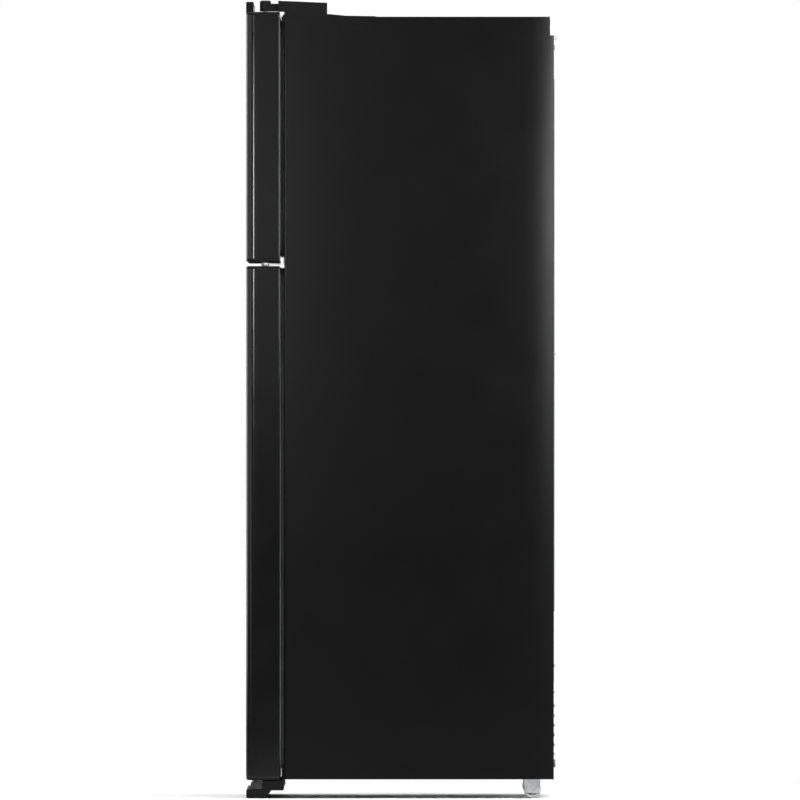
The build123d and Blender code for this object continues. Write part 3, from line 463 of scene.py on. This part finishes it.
def turn(centre, radius, start, end, count):
    """Points on an arc, by angle in degrees."""
    return [(centre[0] + radius * math.cos(math.radians(start + (end - start) * i / (count - 1))),
             centre[1] + radius * math.sin(math.radians(start + (end - start) * i / (count - 1))))
            for i in range(count)]


FLANGE_INNER, SHEET = 292.0, 1.0
ROLL, REAR_ROLL = 3.0, 3.2

for side, sign in (("right", 1), ("left", -1)):
    x, y, z = extent(f"side_panel_{side}")
    reach = (abs(x[0]), abs(x[1])) if sign > 0 else (abs(x[1]), abs(x[0]))
    levels = [z[0], z[0] + 300, z[0] + 800, z[1] - 400, z[1]]
    outline = side_outline(reach, y, sign)
    made = piece(f"side_sheet_{side}", *loft([(outline, level) for level in levels], "Z"),
                 f"side_panel_{side}", smooth=30)
    cut_x = sorted((sign * (reach[1] - 8), sign * (reach[1] + 2)))
    carve(made, *soft_box(cut_x, (y[1] - 9, y[1] + 5), (z[1] - 42, z[1] + 6), 0.3, 0.3), smooth=30)


# ---- door end caps and lip ----
def cap_loops(x, y, start, direction):
    """Rim with rounded edges and a front chamfer, then the plug inside the skin."""
    levels = [(0, 2.0, 2.6), (0.4, 1.0, 2.5), (1.2, 0.3, 2.0), (3.4, 0, 0.2), (4.4, 0, 0),
              (4.9, 0.5, 0), (CAP_RIM, 1.6, 0), (CAP_PLUG, 1.6, 0)]
    loops = [(door_outline(x[1], y[0] + shift, y[1], shrink), start + direction * along)
             for along, shrink, shift in levels]
    return loops if direction > 0 else loops[::-1]


def lip_outline(x, front, shrink):
    """Plan of the raised lip: left bevel, straight front, square end beside the hinge cover."""
    half, back = x[1] - shrink, front + LIP_THICK - shrink
    front += shrink
    arc = circle_through((-half, front + BEVEL_DEPTH),
                         (-half + BEVEL_MIDDLE[0] * BEVEL_WIDTH, front + BEVEL_MIDDLE[1] * BEVEL_DEPTH),
                         (-half + BEVEL_WIDTH, front), 80)
    kept = [point for point in arc if point[1] <= back]
    sampled = [kept[round(i * (len(kept) - 1) / 11)] for i in range(12)]
    return [(sampled[0][0], back)] + sampled[1:] + [(LIP_END - shrink, front), (LIP_END - shrink, back)]


def door_caps(door, body_z):
    node = f"{door}_door_caps"
    x, y, z = extent(node)
    parts = [loft(cap_loops(x, y, body_z[0], 1), "Z"), loft(cap_loops(x, y, body_z[1], -1), "Z")]
    if door == "freezer":
        levels = [(body_z[1] - 1.5, 0), (body_z[1] + 3, 0), (z[1] - 2.2, 0), (z[1] - 1.0, 0.3),
                  (z[1] - 0.3, 1.0), (z[1], 2.2)]
        parts.append(loft([(lip_outline(x, y[0], shrink), level) for level, shrink in levels], "Z"))
    made = piece(f"{door}_end_caps", *joined(parts), node, smooth=30)
    carve(made, *grip_cutter(y[0], grip_levels(door)), smooth=30)


CAP_PLUG, LIP_THICK, LIP_END = 30.0, 17.0, 323.0
BODY_Z = {"freezer": FREEZER_BODY, "fridge": tuple(extent("fridge_door_caps")[2])}
for door in ("freezer", "fridge"):
    door_caps(door, BODY_Z[door])


# ---- seals and formed liners ----
def frame_loop(half, z, shrink, radius):
    """Rounded rectangle on the middle of the door, made smaller all round."""
    corner = max(radius - shrink * 0.6, 2.0)
    return rounded((-half + shrink, half - shrink), inset(z, shrink), corner, 8)


def door_seal(door):
    """Bellows seal: hollow-sided foot, pleat and flat magnetic face, all round."""
    node = f"{door}_door_gasket"
    x, y, z = extent(node)
    profile = [(0.3, 0), (0, 1.2), (2.4, 2.2), (2.6, 2.7), (0.5, 3.7), (0.1, 5.2), (0.7, 6.6),
               (2.2, 7.5), (8.0, 7.6), (13.0, 7.5), (14.6, 6.4), (14.2, 4.8), (16.5, 3.6),
               (20.0, 2.4), (23.4, 1.6), (24, 0)]
    loops = [(frame_loop(x[1], z, shrink, 18), y[0] + rise) for shrink, rise in profile]
    piece(f"{door}_door_seal", *loft(loops, "Y", closed=True), node, smooth=50)


def door_inner(door):
    """Formed door liner: flat margin under the seal, raised hollow frame, recessed middle."""
    node = f"{door}_door_liner"
    back, top = extent(node)[1]
    seal_x, _, seal_z = extent(f"{door}_door_gasket")
    margin = inset(seal_z, 2)
    edge = frame_loop(seal_x[1] - 2, margin, 0, 16)
    loops = [(edge, back), (edge, back + 1.4),
             (frame_loop(seal_x[1] - 2.8, inset(margin, 0.8), 0, 16), back + 2)]
    walls = [(-4.0, back + 2.0), (-1.4, back + 2.6), (-0.4, back + 5.0), (1.2, top - 7.0), (2.0, top - 3.6),
             (3.8, top - 1.2), (6.6, top), (DYKE_THICK - 6.0, top), (DYKE_THICK - 3.2, top - 1.2),
             (DYKE_THICK - 1.4, top - 3.8), (DYKE_THICK - 0.6, top - 8.0), (DYKE_THICK + 0.4, back + 12),
             (DYKE_THICK + 1.6, back + 7), (DYKE_THICK + 4.5, back + 4.4), (DYKE_THICK + 9, back + 3.6)]
    loops += [(frame_loop(DYKE_HALF, DYKE_Z[door], shrink, 30), depth) for shrink, depth in walls]
    piece(f"{door}_door_inner", *loft(loops, "Y"), node, stands_for=[node, f"{door}_door_foam"], smooth=35)


DYKE_HALF, DYKE_THICK = 270.0, 26.0
DYKE_Z = {"freezer": (1253.0, 1684.0), "fridge": (112.0, 1150.0)}
for door in ("freezer", "fridge"):
    door_seal(door)
    door_inner(door)


def rounded_path(corners, radius, steps):
    """Open path with its inner corners rounded, and the direction square to it at each point."""
    points = [corners[0]]
    for before, corner, after in zip(corners, corners[1:], corners[2:]):
        p, a, b = Vector(corner), Vector(before), Vector(after)
        to_a, to_b = (a - p).normalized(), (b - p).normalized()
        half_angle = to_a.angle(to_b) / 2
        reach = min(radius / math.tan(half_angle), (a - p).length * 0.45, (b - p).length * 0.45)
        actual = reach * math.tan(half_angle)
        centre = p + (to_a + to_b).normalized() * actual / math.sin(half_angle)
        start, end = p + to_a * reach - centre, p + to_b * reach - centre
        sweep = start.angle_signed(end)
        for i in range(steps + 1):
            turned = Matrix.Rotation(-sweep * i / steps, 2) @ start
            points.append(tuple(centre + turned))
    points.append(corners[-1])
    normals = []
    for i in range(len(points)):
        before, after = points[max(i - 1, 0)], points[min(i + 1, len(points) - 1)]
        run = (Vector(after) - Vector(before)).normalized()
        normals.append((-run.y, run.x))
    return points, normals


def cavity(name, node, corners, half):
    """Formed compartment liner, open to the front, with rounded inner corners everywhere."""
    path, normals = rounded_path(corners, 20, 6)
    angles = [math.radians(15 * i) for i in range(7)]
    edge = [(half - EDGE_ROUND * (1 - math.cos(a)), EDGE_ROUND * (1 - math.sin(a))) for a in angles]
    stations = edge + [(half * 0.5, 0.0), (-half * 0.5, 0.0)] + [(-x, drop) for x, drop in edge[::-1]]
    vertices, faces = [], []
    for x, drop in stations:
        vertices += [(x, point[0] + normal[0] * drop, point[1] + normal[1] * drop)
                     for point, normal in zip(path, normals)]
    count = len(path)
    for row in range(len(stations) - 1):
        for i in range(count - 1):
            low = row * count + i
            faces.append((low, low + 1, low + count + 1, low + count))
    faces.append(tuple(range(count)))
    faces.append(tuple(range((len(stations) - 1) * count, len(stations) * count))[::-1])
    made = piece(name, vertices, faces, node, smooth=35)
    thick = made.modifiers.new("thickness", "SOLIDIFY")
    thick.thickness, thick.offset = LINER * MM, 0
    apply_modifiers(made)
    shade(made, 35)


EDGE_ROUND, LINER = 16.0, 1.5
front = extent("side_panel_right")[1][0]
low_x, low_y, low_z = extent("fridge_liner")
STEP_Y, STEP_Z, SLANT = 125.0, 305.0, 40.0
floor_z, ceiling_z, back_y, half_x = low_z[0] + 2, low_z[1] - 2, low_y[1] - 2, low_x[1] - 2
cavity("fridge_inner", "fridge_liner",
       [(front, floor_z), (STEP_Y, floor_z), (STEP_Y, STEP_Z - SLANT), (STEP_Y + SLANT, STEP_Z),
        (back_y, STEP_Z), (back_y, ceiling_z), (front, ceiling_z)], half_x)
floor_z, ceiling_z = inset(extent("freezer_liner")[2], 2)
cavity("freezer_inner", "freezer_liner",
       [(front, floor_z), (back_y, floor_z), (back_y, ceiling_z), (front, ceiling_z)], half_x)

LEDGE_FRONT = -160.0
LEDGES = [("fridge", level - 10, 262.0) for level in (322.0, 460.0, 690.0, 920.0)]
LEDGES += [("fridge", 212.0, 122.0), ("freezer", 1462.0, 200.0)]
for index, (space, level, back) in enumerate(LEDGES):
    for side in (-1, 1):
        across = sorted((side * (half_x - 7), side * (half_x + 1)))
        bar = soft_box(across, (LEDGE_FRONT, back), (level - 6, level), 2, 1.5)
        name = f"{space}_ledge_{index}_{'left' if side < 0 else 'right'}"
        piece(name, *bar, f"{space}_liner", stands_for=[])


# ---- drawers, bins and trays ----
WALL, RIM = 2.5, 2.4


def tray(x, y, z, corner, draft=4.0):
    """Moulded open tray: rounded foot, drafted walls, rolled rim."""
    outside = [(z[0], draft + 7), (z[0] + 0.9, draft + 3.6), (z[0] + 3, draft + 1.2), (z[0] + 7, draft),
               (z[1] - 9, RIM), (z[1] - 8.2, RIM * 0.6), (z[1] - 7.6, 0.2), (z[1] - 6.8, 0),
               (z[1] - 1.2, 0), (z[1] - 0.3, 0.4), (z[1], 1.2)]
    inside = [(z[1], RIM + WALL - 1.0), (z[1] - 0.6, RIM + WALL), (z[1] - 9, RIM + WALL + 0.2),
              (z[0] + WALL + 7, draft + WALL), (z[0] + WALL + 2.4, draft + WALL + 1.6),
              (z[0] + WALL + 0.5, draft + WALL + 4.2), (z[0] + WALL, draft + WALL + 8)]
    loops = [(rounded(inset(x, shrink), inset(y, shrink), max(corner - shrink * 0.5, 1.5), 7), level)
             for level, shrink in outside + inside]
    return loft(loops, "Z")


def pull(x, y, z, half):
    """Finger ledge along the top of a drawer's front."""
    middle = (x[0] + x[1]) / 2
    return soft_box((middle - half, middle + half), (y[0], y[0] + 12), (z[1] - 6, z[1] - 2), 3.5, 1.4)


def crisper(side):
    node = f"crisper_{side}"
    x, y, z = extent(node)
    body_y = (y[0] + 8, y[1])
    parts = [tray(x, body_y, z, 16), pull(x, y, z, 70)]
    for row in range(3):
        level = z[0] + 40 + 40 * row
        rib_y = (body_y[0] + 1.2, body_y[0] + 5)
        parts.append(soft_box(inset(x, 26), rib_y, (level, level + 5), 1.6, 1.2))
    piece(f"{node}_tray", *joined(parts), node, smooth=40)


for side in ("right", "left"):
    crisper(side)
for node, half, corner in (("chiller_drawer", 110, 14), ("ice_bin", 50, 12)):
    x, y, z = extent(node)
    hung = node == "chiller_drawer"
    parts = [tray(inset(x, 8) if hung else x, (y[0] + 8, y[1]), z, corner), pull(x, y, z, half)]
    for side in (-1, 1) if hung else ():
        rail_x = sorted((side * (x[1] - 9.5), side * x[1]))
        parts.append(soft_box(rail_x, (y[0] + 24, y[1] - 2), (z[1] - 3, z[1]), 1.4, 0.8))
    piece(f"{node}_tray", *joined(parts), node, smooth=40)

BIN_Z = {"freezer": ((1282.0, 1352.0), (1482.0, 1552.0)),
         "fridge": ((140.0, 250.0), (450.0, 540.0), (740.0, 830.0), (1016.0, 1040.0))}
DEEP_BIN = 40.0             # a bin higher than this one has bars across its front
for door, levels in BIN_Z.items():
    node = f"{door}_door_bins"
    x, y, z = extent(node)
    parts = []
    for low, high in levels:
        reach = y[1] if high - low > DEEP_BIN else y[1] - 6
        parts.append(tray(x, (y[0] + 3.4, reach), (low, high), 15, 3.0))
        if high - low > DEEP_BIN:
            bar_x = inset(x, 22)
            parts.append(soft_box(bar_x, (reach - 4.6, reach - 1.0), (low + 18, low + 24), 2, 1.2))
            parts.append(soft_box(bar_x, (reach - 4.2, reach - 0.8), (high - 26, high - 18), 2.4, 1.2))
    piece(f"{door}_bins", *joined(parts), node, smooth=40)


# ---- fasteners, feet and rollers ----
def islands(node):
    """Corner pairs and points of each separate solid in a node, in millimetres."""
    work = bmesh.new()
    work.from_mesh(NODES[node].data)
    bmesh.ops.remove_doubles(work, verts=work.verts, dist=0.000005)
    left, groups = set(work.verts), []
    while left:
        stack, group = [left.pop()], []
        while stack:
            vertex = stack.pop()
            group.append(vertex.co.copy() / MM)
            for edge in vertex.link_edges:
                other = edge.other_vert(vertex)
                if other in left:
                    left.remove(other)
                    stack.append(other)
        groups.append(group)
    work.free()
    groups.sort(key=lambda group: [round(min(point[i] for point in group), 2) for i in range(3)])
    return groups


def turned(profile, axis, centre, count, wobble=None):
    """Lathe shape from (depth, radius) stations; wobble changes the radius by angle."""
    loops = []
    for depth, radius in profile:
        loop = []
        for i in range(count):
            angle = 2 * math.pi * i / count
            reach = radius * (wobble(angle, depth) if wobble else 1.0)
            loop.append((centre[0] + reach * math.cos(angle), centre[1] + reach * math.sin(angle)))
        loops.append((loop, depth))
    return loft(loops, axis)


def cross_screw():
    """Pan head with a cross recess, head towards +Z, seat at zero."""
    shape = turned([(-5.5, 1.9), (-0.02, 2.0), (0, 5.1), (0.5, 5.5), (1.4, 5.4), (2.2, 4.6),
                    (2.75, 3.2), (3.0, 1.5)], "Z", (0, 0), 28)
    mesh = bpy.data.meshes.new("screw_form")
    mesh.from_pydata(shape[0], [], shape[1])
    made = linked("screw_form", mesh)
    for size in ((5.6, 1.1), (1.1, 5.6)):
        slot = bpy.data.meshes.new("slot")
        box = soft_box((-size[0] / 2, size[0] / 2), (-size[1] / 2, size[1] / 2), (1.5, 4.0), 0.25, 0.1)
        slot.from_pydata(box[0], [], box[1])
        subtract(made, slot)
    mesh = made.data
    result = ([tuple(vertex.co) for vertex in mesh.vertices],
              [tuple(face.vertices) for face in mesh.polygons])
    bpy.data.objects.remove(made)
    bpy.data.meshes.remove(mesh)
    return result


SCREW_LENGTH, HEAD_HEIGHT, SHANK_RADIUS = 9.0, 3.0, 4.0


def screws():
    """A cross-head screw in the place of each plain one, every slot turned its own way."""
    form = cross_screw()
    parts = []
    for group in islands("screws"):
        low = [min(point[i] for point in group) for i in range(3)]
        high = [max(point[i] for point in group) for i in range(3)]
        sizes = [high[i] - low[i] for i in range(3)]
        axis = min(range(3), key=lambda i: abs(sizes[i] - SCREW_LENGTH))
        centre = Vector([(low[i] + high[i]) / 2 for i in range(3)])
        sides = [i for i in range(3) if i != axis]
        wide = [point[axis] for point in group
                if max(abs(point[i] - centre[i]) for i in sides) > SHANK_RADIUS]
        direction = 1 if sum(wide) / len(wide) > centre[axis] else -1
        seat = centre.copy()
        seat[axis] = high[axis] - HEAD_HEIGHT if direction > 0 else low[axis] + HEAD_HEIGHT
        out = Vector([direction if i == axis else 0 for i in range(3)])
        spin = out.to_track_quat("Z", "Y").to_matrix() @ Matrix.Rotation(0.4 + 0.7 * len(parts), 3, "Z")
        parts.append(([tuple(seat + spin @ Vector(point)) for point in form[0]], list(form[1])))
    piece("cross_screws", *joined(parts), "screws", smooth=35)


screws()


def levelling_foot(side):
    """Ribbed pad with a soft sole, threaded stud and hexagon nut."""
    node = f"levelling_foot_{side}"
    x, y, z = extent(node)
    centre = ((x[0] + x[1]) / 2, (y[0] + y[1]) / 2)
    radius = (x[1] - x[0]) / 2

    def ribs(angle, depth):
        return 1.0 - (0.035 if 2.2 < depth < 6.4 and math.sin(angle * 24) < 0 else 0.0)

    pad = turned([(0, radius - 2.0), (0.5, radius - 0.8), (1.8, radius - 0.6), (2.0, radius - 1.2),
                  (2.3, radius), (5.4, radius), (6.4, radius - 1.0), (7.6, radius - 4.0),
                  (8.0, radius - 7.5)], "Z", centre, 96, ribs)
    pitch, turns = 0.8, 39
    thread = [(7.5 + pitch * i + step, 4.9 if step else 4.2)
              for i in range(turns) for step in (0.0, pitch / 2)]
    stud = turned(thread + [(z[1] - 0.3, 4.2)], "Z", centre, 28)
    nut = turned([(8.2, 7.4), (8.7, 8.3), (14.2, 8.3), (14.8, 7.4)], "Z", centre, 6)
    piece(f"{node}_screw", *joined([pad, stud, nut]), node, smooth=28)


def roller(side):
    """Moulded wheel: crowned tread, recessed web, bored hub."""
    node = f"roller_{side}"
    x, y, z = extent(node)
    centre = ((y[0] + y[1]) / 2, (z[0] + z[1]) / 2)
    radius, middle, half = (z[1] - z[0]) / 2, (x[0] + x[1]) / 2, (x[1] - x[0]) / 2
    outside = [(-half, radius - 3.5), (-half + 0.6, radius - 1.6), (-half + 2.2, radius - 0.4),
               (0, radius), (half - 2.2, radius - 0.4), (half - 0.6, radius - 1.6), (half, radius - 3.5)]
    face = [(half, radius - 6.0), (half - 0.6, radius - 6.6), (half - 4.5, radius - 7.2),
            (half - 4.5, 8.6), (half - 0.6, 8.0), (half, 7.4), (half, 4.6), (half - 0.4, 4.2)]
    profile = outside + face + [(-depth, reach) for depth, reach in face[::-1]]
    around = [2 * math.pi * i / 48 for i in range(48)]
    loops = [([(centre[0] + reach * math.cos(a), centre[1] + reach * math.sin(a)) for a in around],
              middle + depth) for depth, reach in profile]
    piece(f"{node}_wheel", *loft(loops, "X", closed=True), node, smooth=35)


for side in ("right", "left"):
    levelling_foot(side)
    roller(side)


# ---- controls ----
SLIDER_X, SLIDER_HALF = 55, 44      # middle of the slider's scale, and the marks' distance from it


def controls():
    """Fluted knob with a raised pointer bar, the marks round it, and the marks beside the slider."""
    node = "temperature_dial"
    x, y, z = extent(node)
    centre = ((x[0] + x[1]) / 2, (z[0] + z[1]) / 2)
    radius, face = (x[1] - x[0]) / 2, y[0] + 6

    def flutes(angle, depth):
        return 1.0 - 0.05 * max(0.0, math.sin(angle * 18)) * (depth > face + 1.2)

    knob = turned([(y[1], radius - 0.6), (y[1] - 0.6, radius), (face + 2.2, radius - 0.8),
                   (face + 1.0, radius - 1.4), (face + 0.2, radius - 2.8), (face, radius - 5.0)],
                  "Y", centre, 144, flutes)
    bar = soft_box((centre[0] - 3, centre[0] + 3), (y[0], face + 1),
                   (centre[1] - 16.5, centre[1] + 16.5), 2.6, 1.2, "Y")
    piece("temperature_knob", *joined([knob, bar]), node, smooth=32)

    _, box_y, box_z = extent("control_box")
    plate = box_y[0]
    marks = []
    for i in range(9):
        angle = math.radians(-45 + 33.75 * i)
        near, far = radius + 2.0, radius + (5.0 if i % 4 == 0 else 3.6)
        if not box_z[0] + 1 <= centre[1] + far * math.sin(angle) <= box_z[1] - 3:
            continue
        across = Vector((-math.sin(angle), math.cos(angle))) * 0.45
        inner, outer = (Vector((math.cos(angle), math.sin(angle))) * reach for reach in (near, far))
        corners = (inner - across, outer - across, outer + across, inner + across)
        square = [(centre[0] + p.x, centre[1] + p.y) for p in corners]
        marks.append(loft([(square, plate - 0.25), (square, plate + 0.3)], "Y"))
    piece("dial_marks", *joined(marks), "kick_plate", stands_for=[])
    depth = (plate - 0.3, plate + 0.3)
    for sign, length in ((-1, 3.0), (1, 6.0)):
        spot = SLIDER_X + sign * SLIDER_HALF
        bars = [soft_box((spot - length / 2, spot + length / 2), depth, (1145.6, 1146.4), 0.3, 0.1)]
        if sign > 0:
            bars.append(soft_box((spot - 0.4, spot + 0.4), depth, (1143.0, 1149.0), 0.3, 0.1))
        piece(f"slider_mark_{'more' if sign > 0 else 'less'}", *joined(bars), "kick_plate", stands_for=[])


controls()


BLADES, ROOT = 7, 13.5      # number of blades, and the radius where they start


def fan():
    """Seven twisted, cambered blades on a domed hub."""
    node = "evaporator_fan"
    x, y, z = extent(node)
    centre = Vector(((x[0] + x[1]) / 2, (z[0] + z[1]) / 2))
    radius = (x[1] - x[0]) / 2 - 1
    middle = (y[0] + y[1]) / 2
    parts = [turned([(y[1] - 6, ROOT), (y[1] - 7, 15), (middle - 6, 15), (middle - 8, 14.2),
                     (middle - 9.6, 12), (middle - 10.4, 8), (middle - 10.6, 3)], "Y", centre, 48)]
    rows, columns = 7, 7
    for blade in range(BLADES):
        turn_by = 2 * math.pi * blade / BLADES
        vertices, faces = [], []
        for side in (0, 1):
            for row in range(rows):
                reach = ROOT + (radius - ROOT) * row / (rows - 1)
                pitch = math.radians(38 - 14 * row / (rows - 1))
                chord = 25 + 11 * math.sin(math.pi * (0.25 + 0.5 * row / (rows - 1)))
                for column in range(columns):
                    t = column / (columns - 1) - 0.5
                    camber = 2.4 * (0.25 - t * t)
                    sweep = chord * t * math.cos(pitch) / reach + 0.12 * row / (rows - 1)
                    skin = (0.7 if side else -0.7) * (1 - abs(t))
                    depth = middle + chord * t * math.sin(pitch) * 0.62 + camber + skin
                    angle = turn_by + sweep
                    vertices.append((centre.x + reach * math.cos(angle), depth,
                                     centre.y + reach * math.sin(angle)))
        layer = rows * columns
        for row in range(rows - 1):
            for column in range(columns - 1):
                a = row * columns + column
                quad = (a, a + 1, a + columns + 1, a + columns)
                faces += [quad, tuple(index + layer for index in quad[::-1])]
        rim = list(range(columns))
        rim += [row * columns + columns - 1 for row in range(1, rows)]
        rim += [(rows - 1) * columns + column for column in range(columns - 2, -1, -1)]
        rim += [row * columns for row in range(rows - 2, 0, -1)]
        for a, b in zip(rim, rim[1:] + rim[:1]):
            faces.append((a, b, b + layer, a + layer))
        parts.append((vertices, faces))
    piece("fan_blades", *joined(parts), node, smooth=45)


fan()


# ---- back of the cabinet ----
def louvres():
    """Half-round hoods over the slots of the rear cover."""
    plate = extent("machine_cover")[1][1] - 9
    parts = []
    for row in range(6):
        for column in (-1, 0, 1):
            level, middle = 96.0 + 22 * row, 220.0 * column
            loops = []
            for t in range(9):
                along = middle - 84 + 168 * t / 8
                swell = min(1.0, 0.25 + 1.5 * math.sin(math.pi * t / 8))
                outline = [(plate - 0.4, level - 1.5)]
                for i in range(7):
                    angle = math.radians(-80 + 170 * i / 6)
                    outline.append((plate + 4.6 * swell * math.cos(angle) * 0.95,
                                    level + 1.5 + 4.2 * swell * math.sin(angle)))
                outline.append((plate - 0.4, level + 5.5))
                loops.append((outline, along))
            parts.append(loft(loops, "X"))
    piece("rear_louvres", *joined(parts), "machine_cover", stands_for=[], smooth=50)


louvres()


def pipe(name, points, radius, node):
    """Smooth tube through a few points, in millimetres."""
    curve = bpy.data.curves.new(name, "CURVE")
    curve.dimensions, curve.bevel_depth, curve.bevel_resolution = "3D", radius * MM, 6
    curve.resolution_u, curve.use_fill_caps = 8, True
    spline = curve.splines.new("NURBS")
    spline.points.add(len(points) - 1)
    for target, point in zip(spline.points, points):
        target.co = (*[value * MM for value in point], 1)
    spline.order_u, spline.use_endpoint_u = 3, True
    made = linked(name, curve)
    curve.materials.append(FINISHES[SLOT_OF[node]])
    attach(made, BODY_OF[node])


def plumbing():
    """Discharge and suction pipes, and the return bends of both coils."""
    pipe("discharge_pipe", [(250, 214, 120), (250, 200, 150), (250, 200, 200), (220, 200, 222),
                            (120, 200, 222), (80, 215, 222), (80, 262, 218), (62, 265, 216)],
         2.6, "condenser")
    pipe("suction_pipe", [(150, 285, 130), (140, 300, 160), (140, 310, 215), (160, 314, 240),
                          (160, 316, 258)], 4.0, "condenser")
    for node, rows in (("condenser", 6), ("evaporator", 7)):
        x, y, z = extent(node)
        middle, pitch = (y[0] + y[1]) / 2, (z[1] - z[0]) / rows
        for row in range(rows - 1):
            end, out = (x[1], 1) if row % 2 == 0 else (x[0], -1)
            level = z[0] + pitch * (row + 0.5)
            near, far = end - out * 3, end + out * 9
            bend = [(near, middle, level), (far, middle, level),
                    (end + out * 12, middle, level + pitch / 2),
                    (far, middle, level + pitch), (near, middle, level + pitch)]
            pipe(f"{node}_bend_{row}", bend, 3.8, node)


plumbing()

SOFT = {
    "top_panel": 0.3, "top_front_cover": 0.8, "back_panel": 0.3, "base_plate": 0.5, "mullion_rail": 0.4,
    "rear_corner_caps": 0.9, "top_hinge": 0.8, "top_hinge_cover": 1.2, "centre_hinge": 0.6,
    "bottom_hinge": 0.8, "kick_plate": 0.8, "compressor": 1.0, "drain_pan": 0.8, "machine_cover": 0.4,
    "fan_motor": 0.6, "freezer_duct_panel": 0.7, "fridge_duct": 0.7, "control_box": 0.9, "lamp_cover": 0.8,
    "freezer_shelf": 1.2, "shelf_glass": 0.8, "shelf_frames": 1.2, "ice_tray_frame": 0.7,
    "freezer_slider": 0.6, "humidity_slider_right": 0.6, "humidity_slider_left": 0.6,
    "light_switch_plunger": 0.6, "ice_tray_left": 0.6, "ice_tray_right": 0.6, "dairy_cover": 0.7,
}
for node, width in SOFT.items():
    soften(node, width)


# ---- floor, light and camera ----
def area_light(name, centre, target, size, power):
    """Rectangular lamp, in metres and watts, turned to a target and hidden from the camera."""
    data = bpy.data.lights.new(name, "AREA")
    data.shape, data.size, data.size_y, data.energy = "RECTANGLE", size[0], size[1], power
    lamp = linked(name, data)
    lamp.location = centre
    lamp.rotation_euler = (Vector(target) - Vector(centre)).to_track_quat("-Z", "Y").to_euler()
    lamp.visible_camera = False


def studio():
    """Round floor, a world that is white to the camera and dim as a light, lamps and camera."""
    work = bmesh.new()
    bmesh.ops.create_circle(work, cap_ends=True, radius=FLOOR_RADIUS, segments=96)
    mesh = bpy.data.meshes.new("studio_floor")
    work.to_mesh(mesh)
    work.free()
    floor = linked("studio_floor", mesh)
    mesh.materials.append(finish("floor_paint", grey(0.72), grey(0.76), (0.55, 0.65), (4.0, 0.02),
                                 blotch_mm=900))

    world = bpy.data.worlds.new("studio")
    bpy.context.scene.world = world
    world.use_nodes = True
    nodes, links = world.node_tree.nodes, world.node_tree.links
    nodes.clear()
    seen, lit = nodes.new("ShaderNodeBackground"), nodes.new("ShaderNodeBackground")
    seen.inputs["Color"].default_value, seen.inputs["Strength"].default_value = grey(1.0), 1.0
    lit.inputs["Strength"].default_value = WORLD_LIGHT
    split = nodes.new("ShaderNodeSeparateXYZ")
    links.new(nodes.new("ShaderNodeTexCoord").outputs["Generated"], split.inputs["Vector"])
    height = add_range(nodes, links, split.outputs["Z"], (0.0, 1.0), HORIZON)
    tone = add_ramp(nodes, links, height, (grey(GROUND_TONE), grey(1.0)), (0.0, 1.0))
    links.new(tone, lit.inputs["Color"])
    mix = nodes.new("ShaderNodeMixShader")
    links.new(nodes.new("ShaderNodeLightPath").outputs["Is Camera Ray"], mix.inputs["Fac"])
    links.new(lit.outputs["Background"], mix.inputs[1])
    links.new(seen.outputs["Background"], mix.inputs[2])
    links.new(mix.outputs["Shader"], nodes.new("ShaderNodeOutputWorld").inputs["Surface"])

    area_light("overhead", (0.0, 0.0, 4.6), (0, 0, 0), (6.0, 6.0), 360)
    area_light("front_strip", (3.2, -1.25, 1.36), (0.35, -0.33, 1.36), (0.36, 0.48), 34)
    area_light("rear_strip", (1.65, 1.6, 1.55), (0.35, 0.33, 1.45), (1.1, 1.0), 95)
    area_light("side_card", (6.0, 0.0, 1.4), (0.35, 0.0, 1.4), (3.0, 1.1), 6.5)
    area_light("front_fill", (0.6, -4.2, 1.7), (0.0, 0, 1.0), (3.4, 2.4), 30)
    area_light("left_window", (-3.4, -4.4, 1.5), (0, -0.2, 1.0), (1.8, 2.6), 90)
    area_light("right_window", (3.6, -4.8, 1.5), (0, -0.2, 1.0), (1.2, 2.4), 22)
    area_light("left_card", (-5.5, 0.6, 1.4), (-0.35, 0.0, 1.2), (3.2, 2.2), 60)
    area_light("back_card", (-1.8, 5.0, 1.6), (0.0, 0.3, 1.0), (3.0, 2.2), 30)

    camera = linked("camera", bpy.data.cameras.new("camera"))
    bpy.context.scene.camera = camera
    camera.data.lens, camera.data.sensor_width = LENS, SENSOR
    distance = VIEW_WIDTH * LENS / SENSOR
    camera.location = (extent("side_panel_right")[0][1] * MM + distance, AIM[0], AIM[1])
    camera.rotation_euler = (math.radians(90), 0, math.radians(90))
    camera.data.clip_end = CLIP_END
    bpy.context.scene.view_settings.view_transform = "Standard"


WORLD_LIGHT, GROUND_TONE = 0.16, 0.22
HORIZON = (-0.016, 0.012)   # height of the line between dark ground and bright sky, as a direction
FLOOR_RADIUS = 2.0
CLIP_END = 400.0
LENS, SENSOR = 1200.0, 36.0
VIEW_WIDTH = 1.8            # metres across the picture at the right side panel
AIM = (-0.006, 0.8966)

studio()
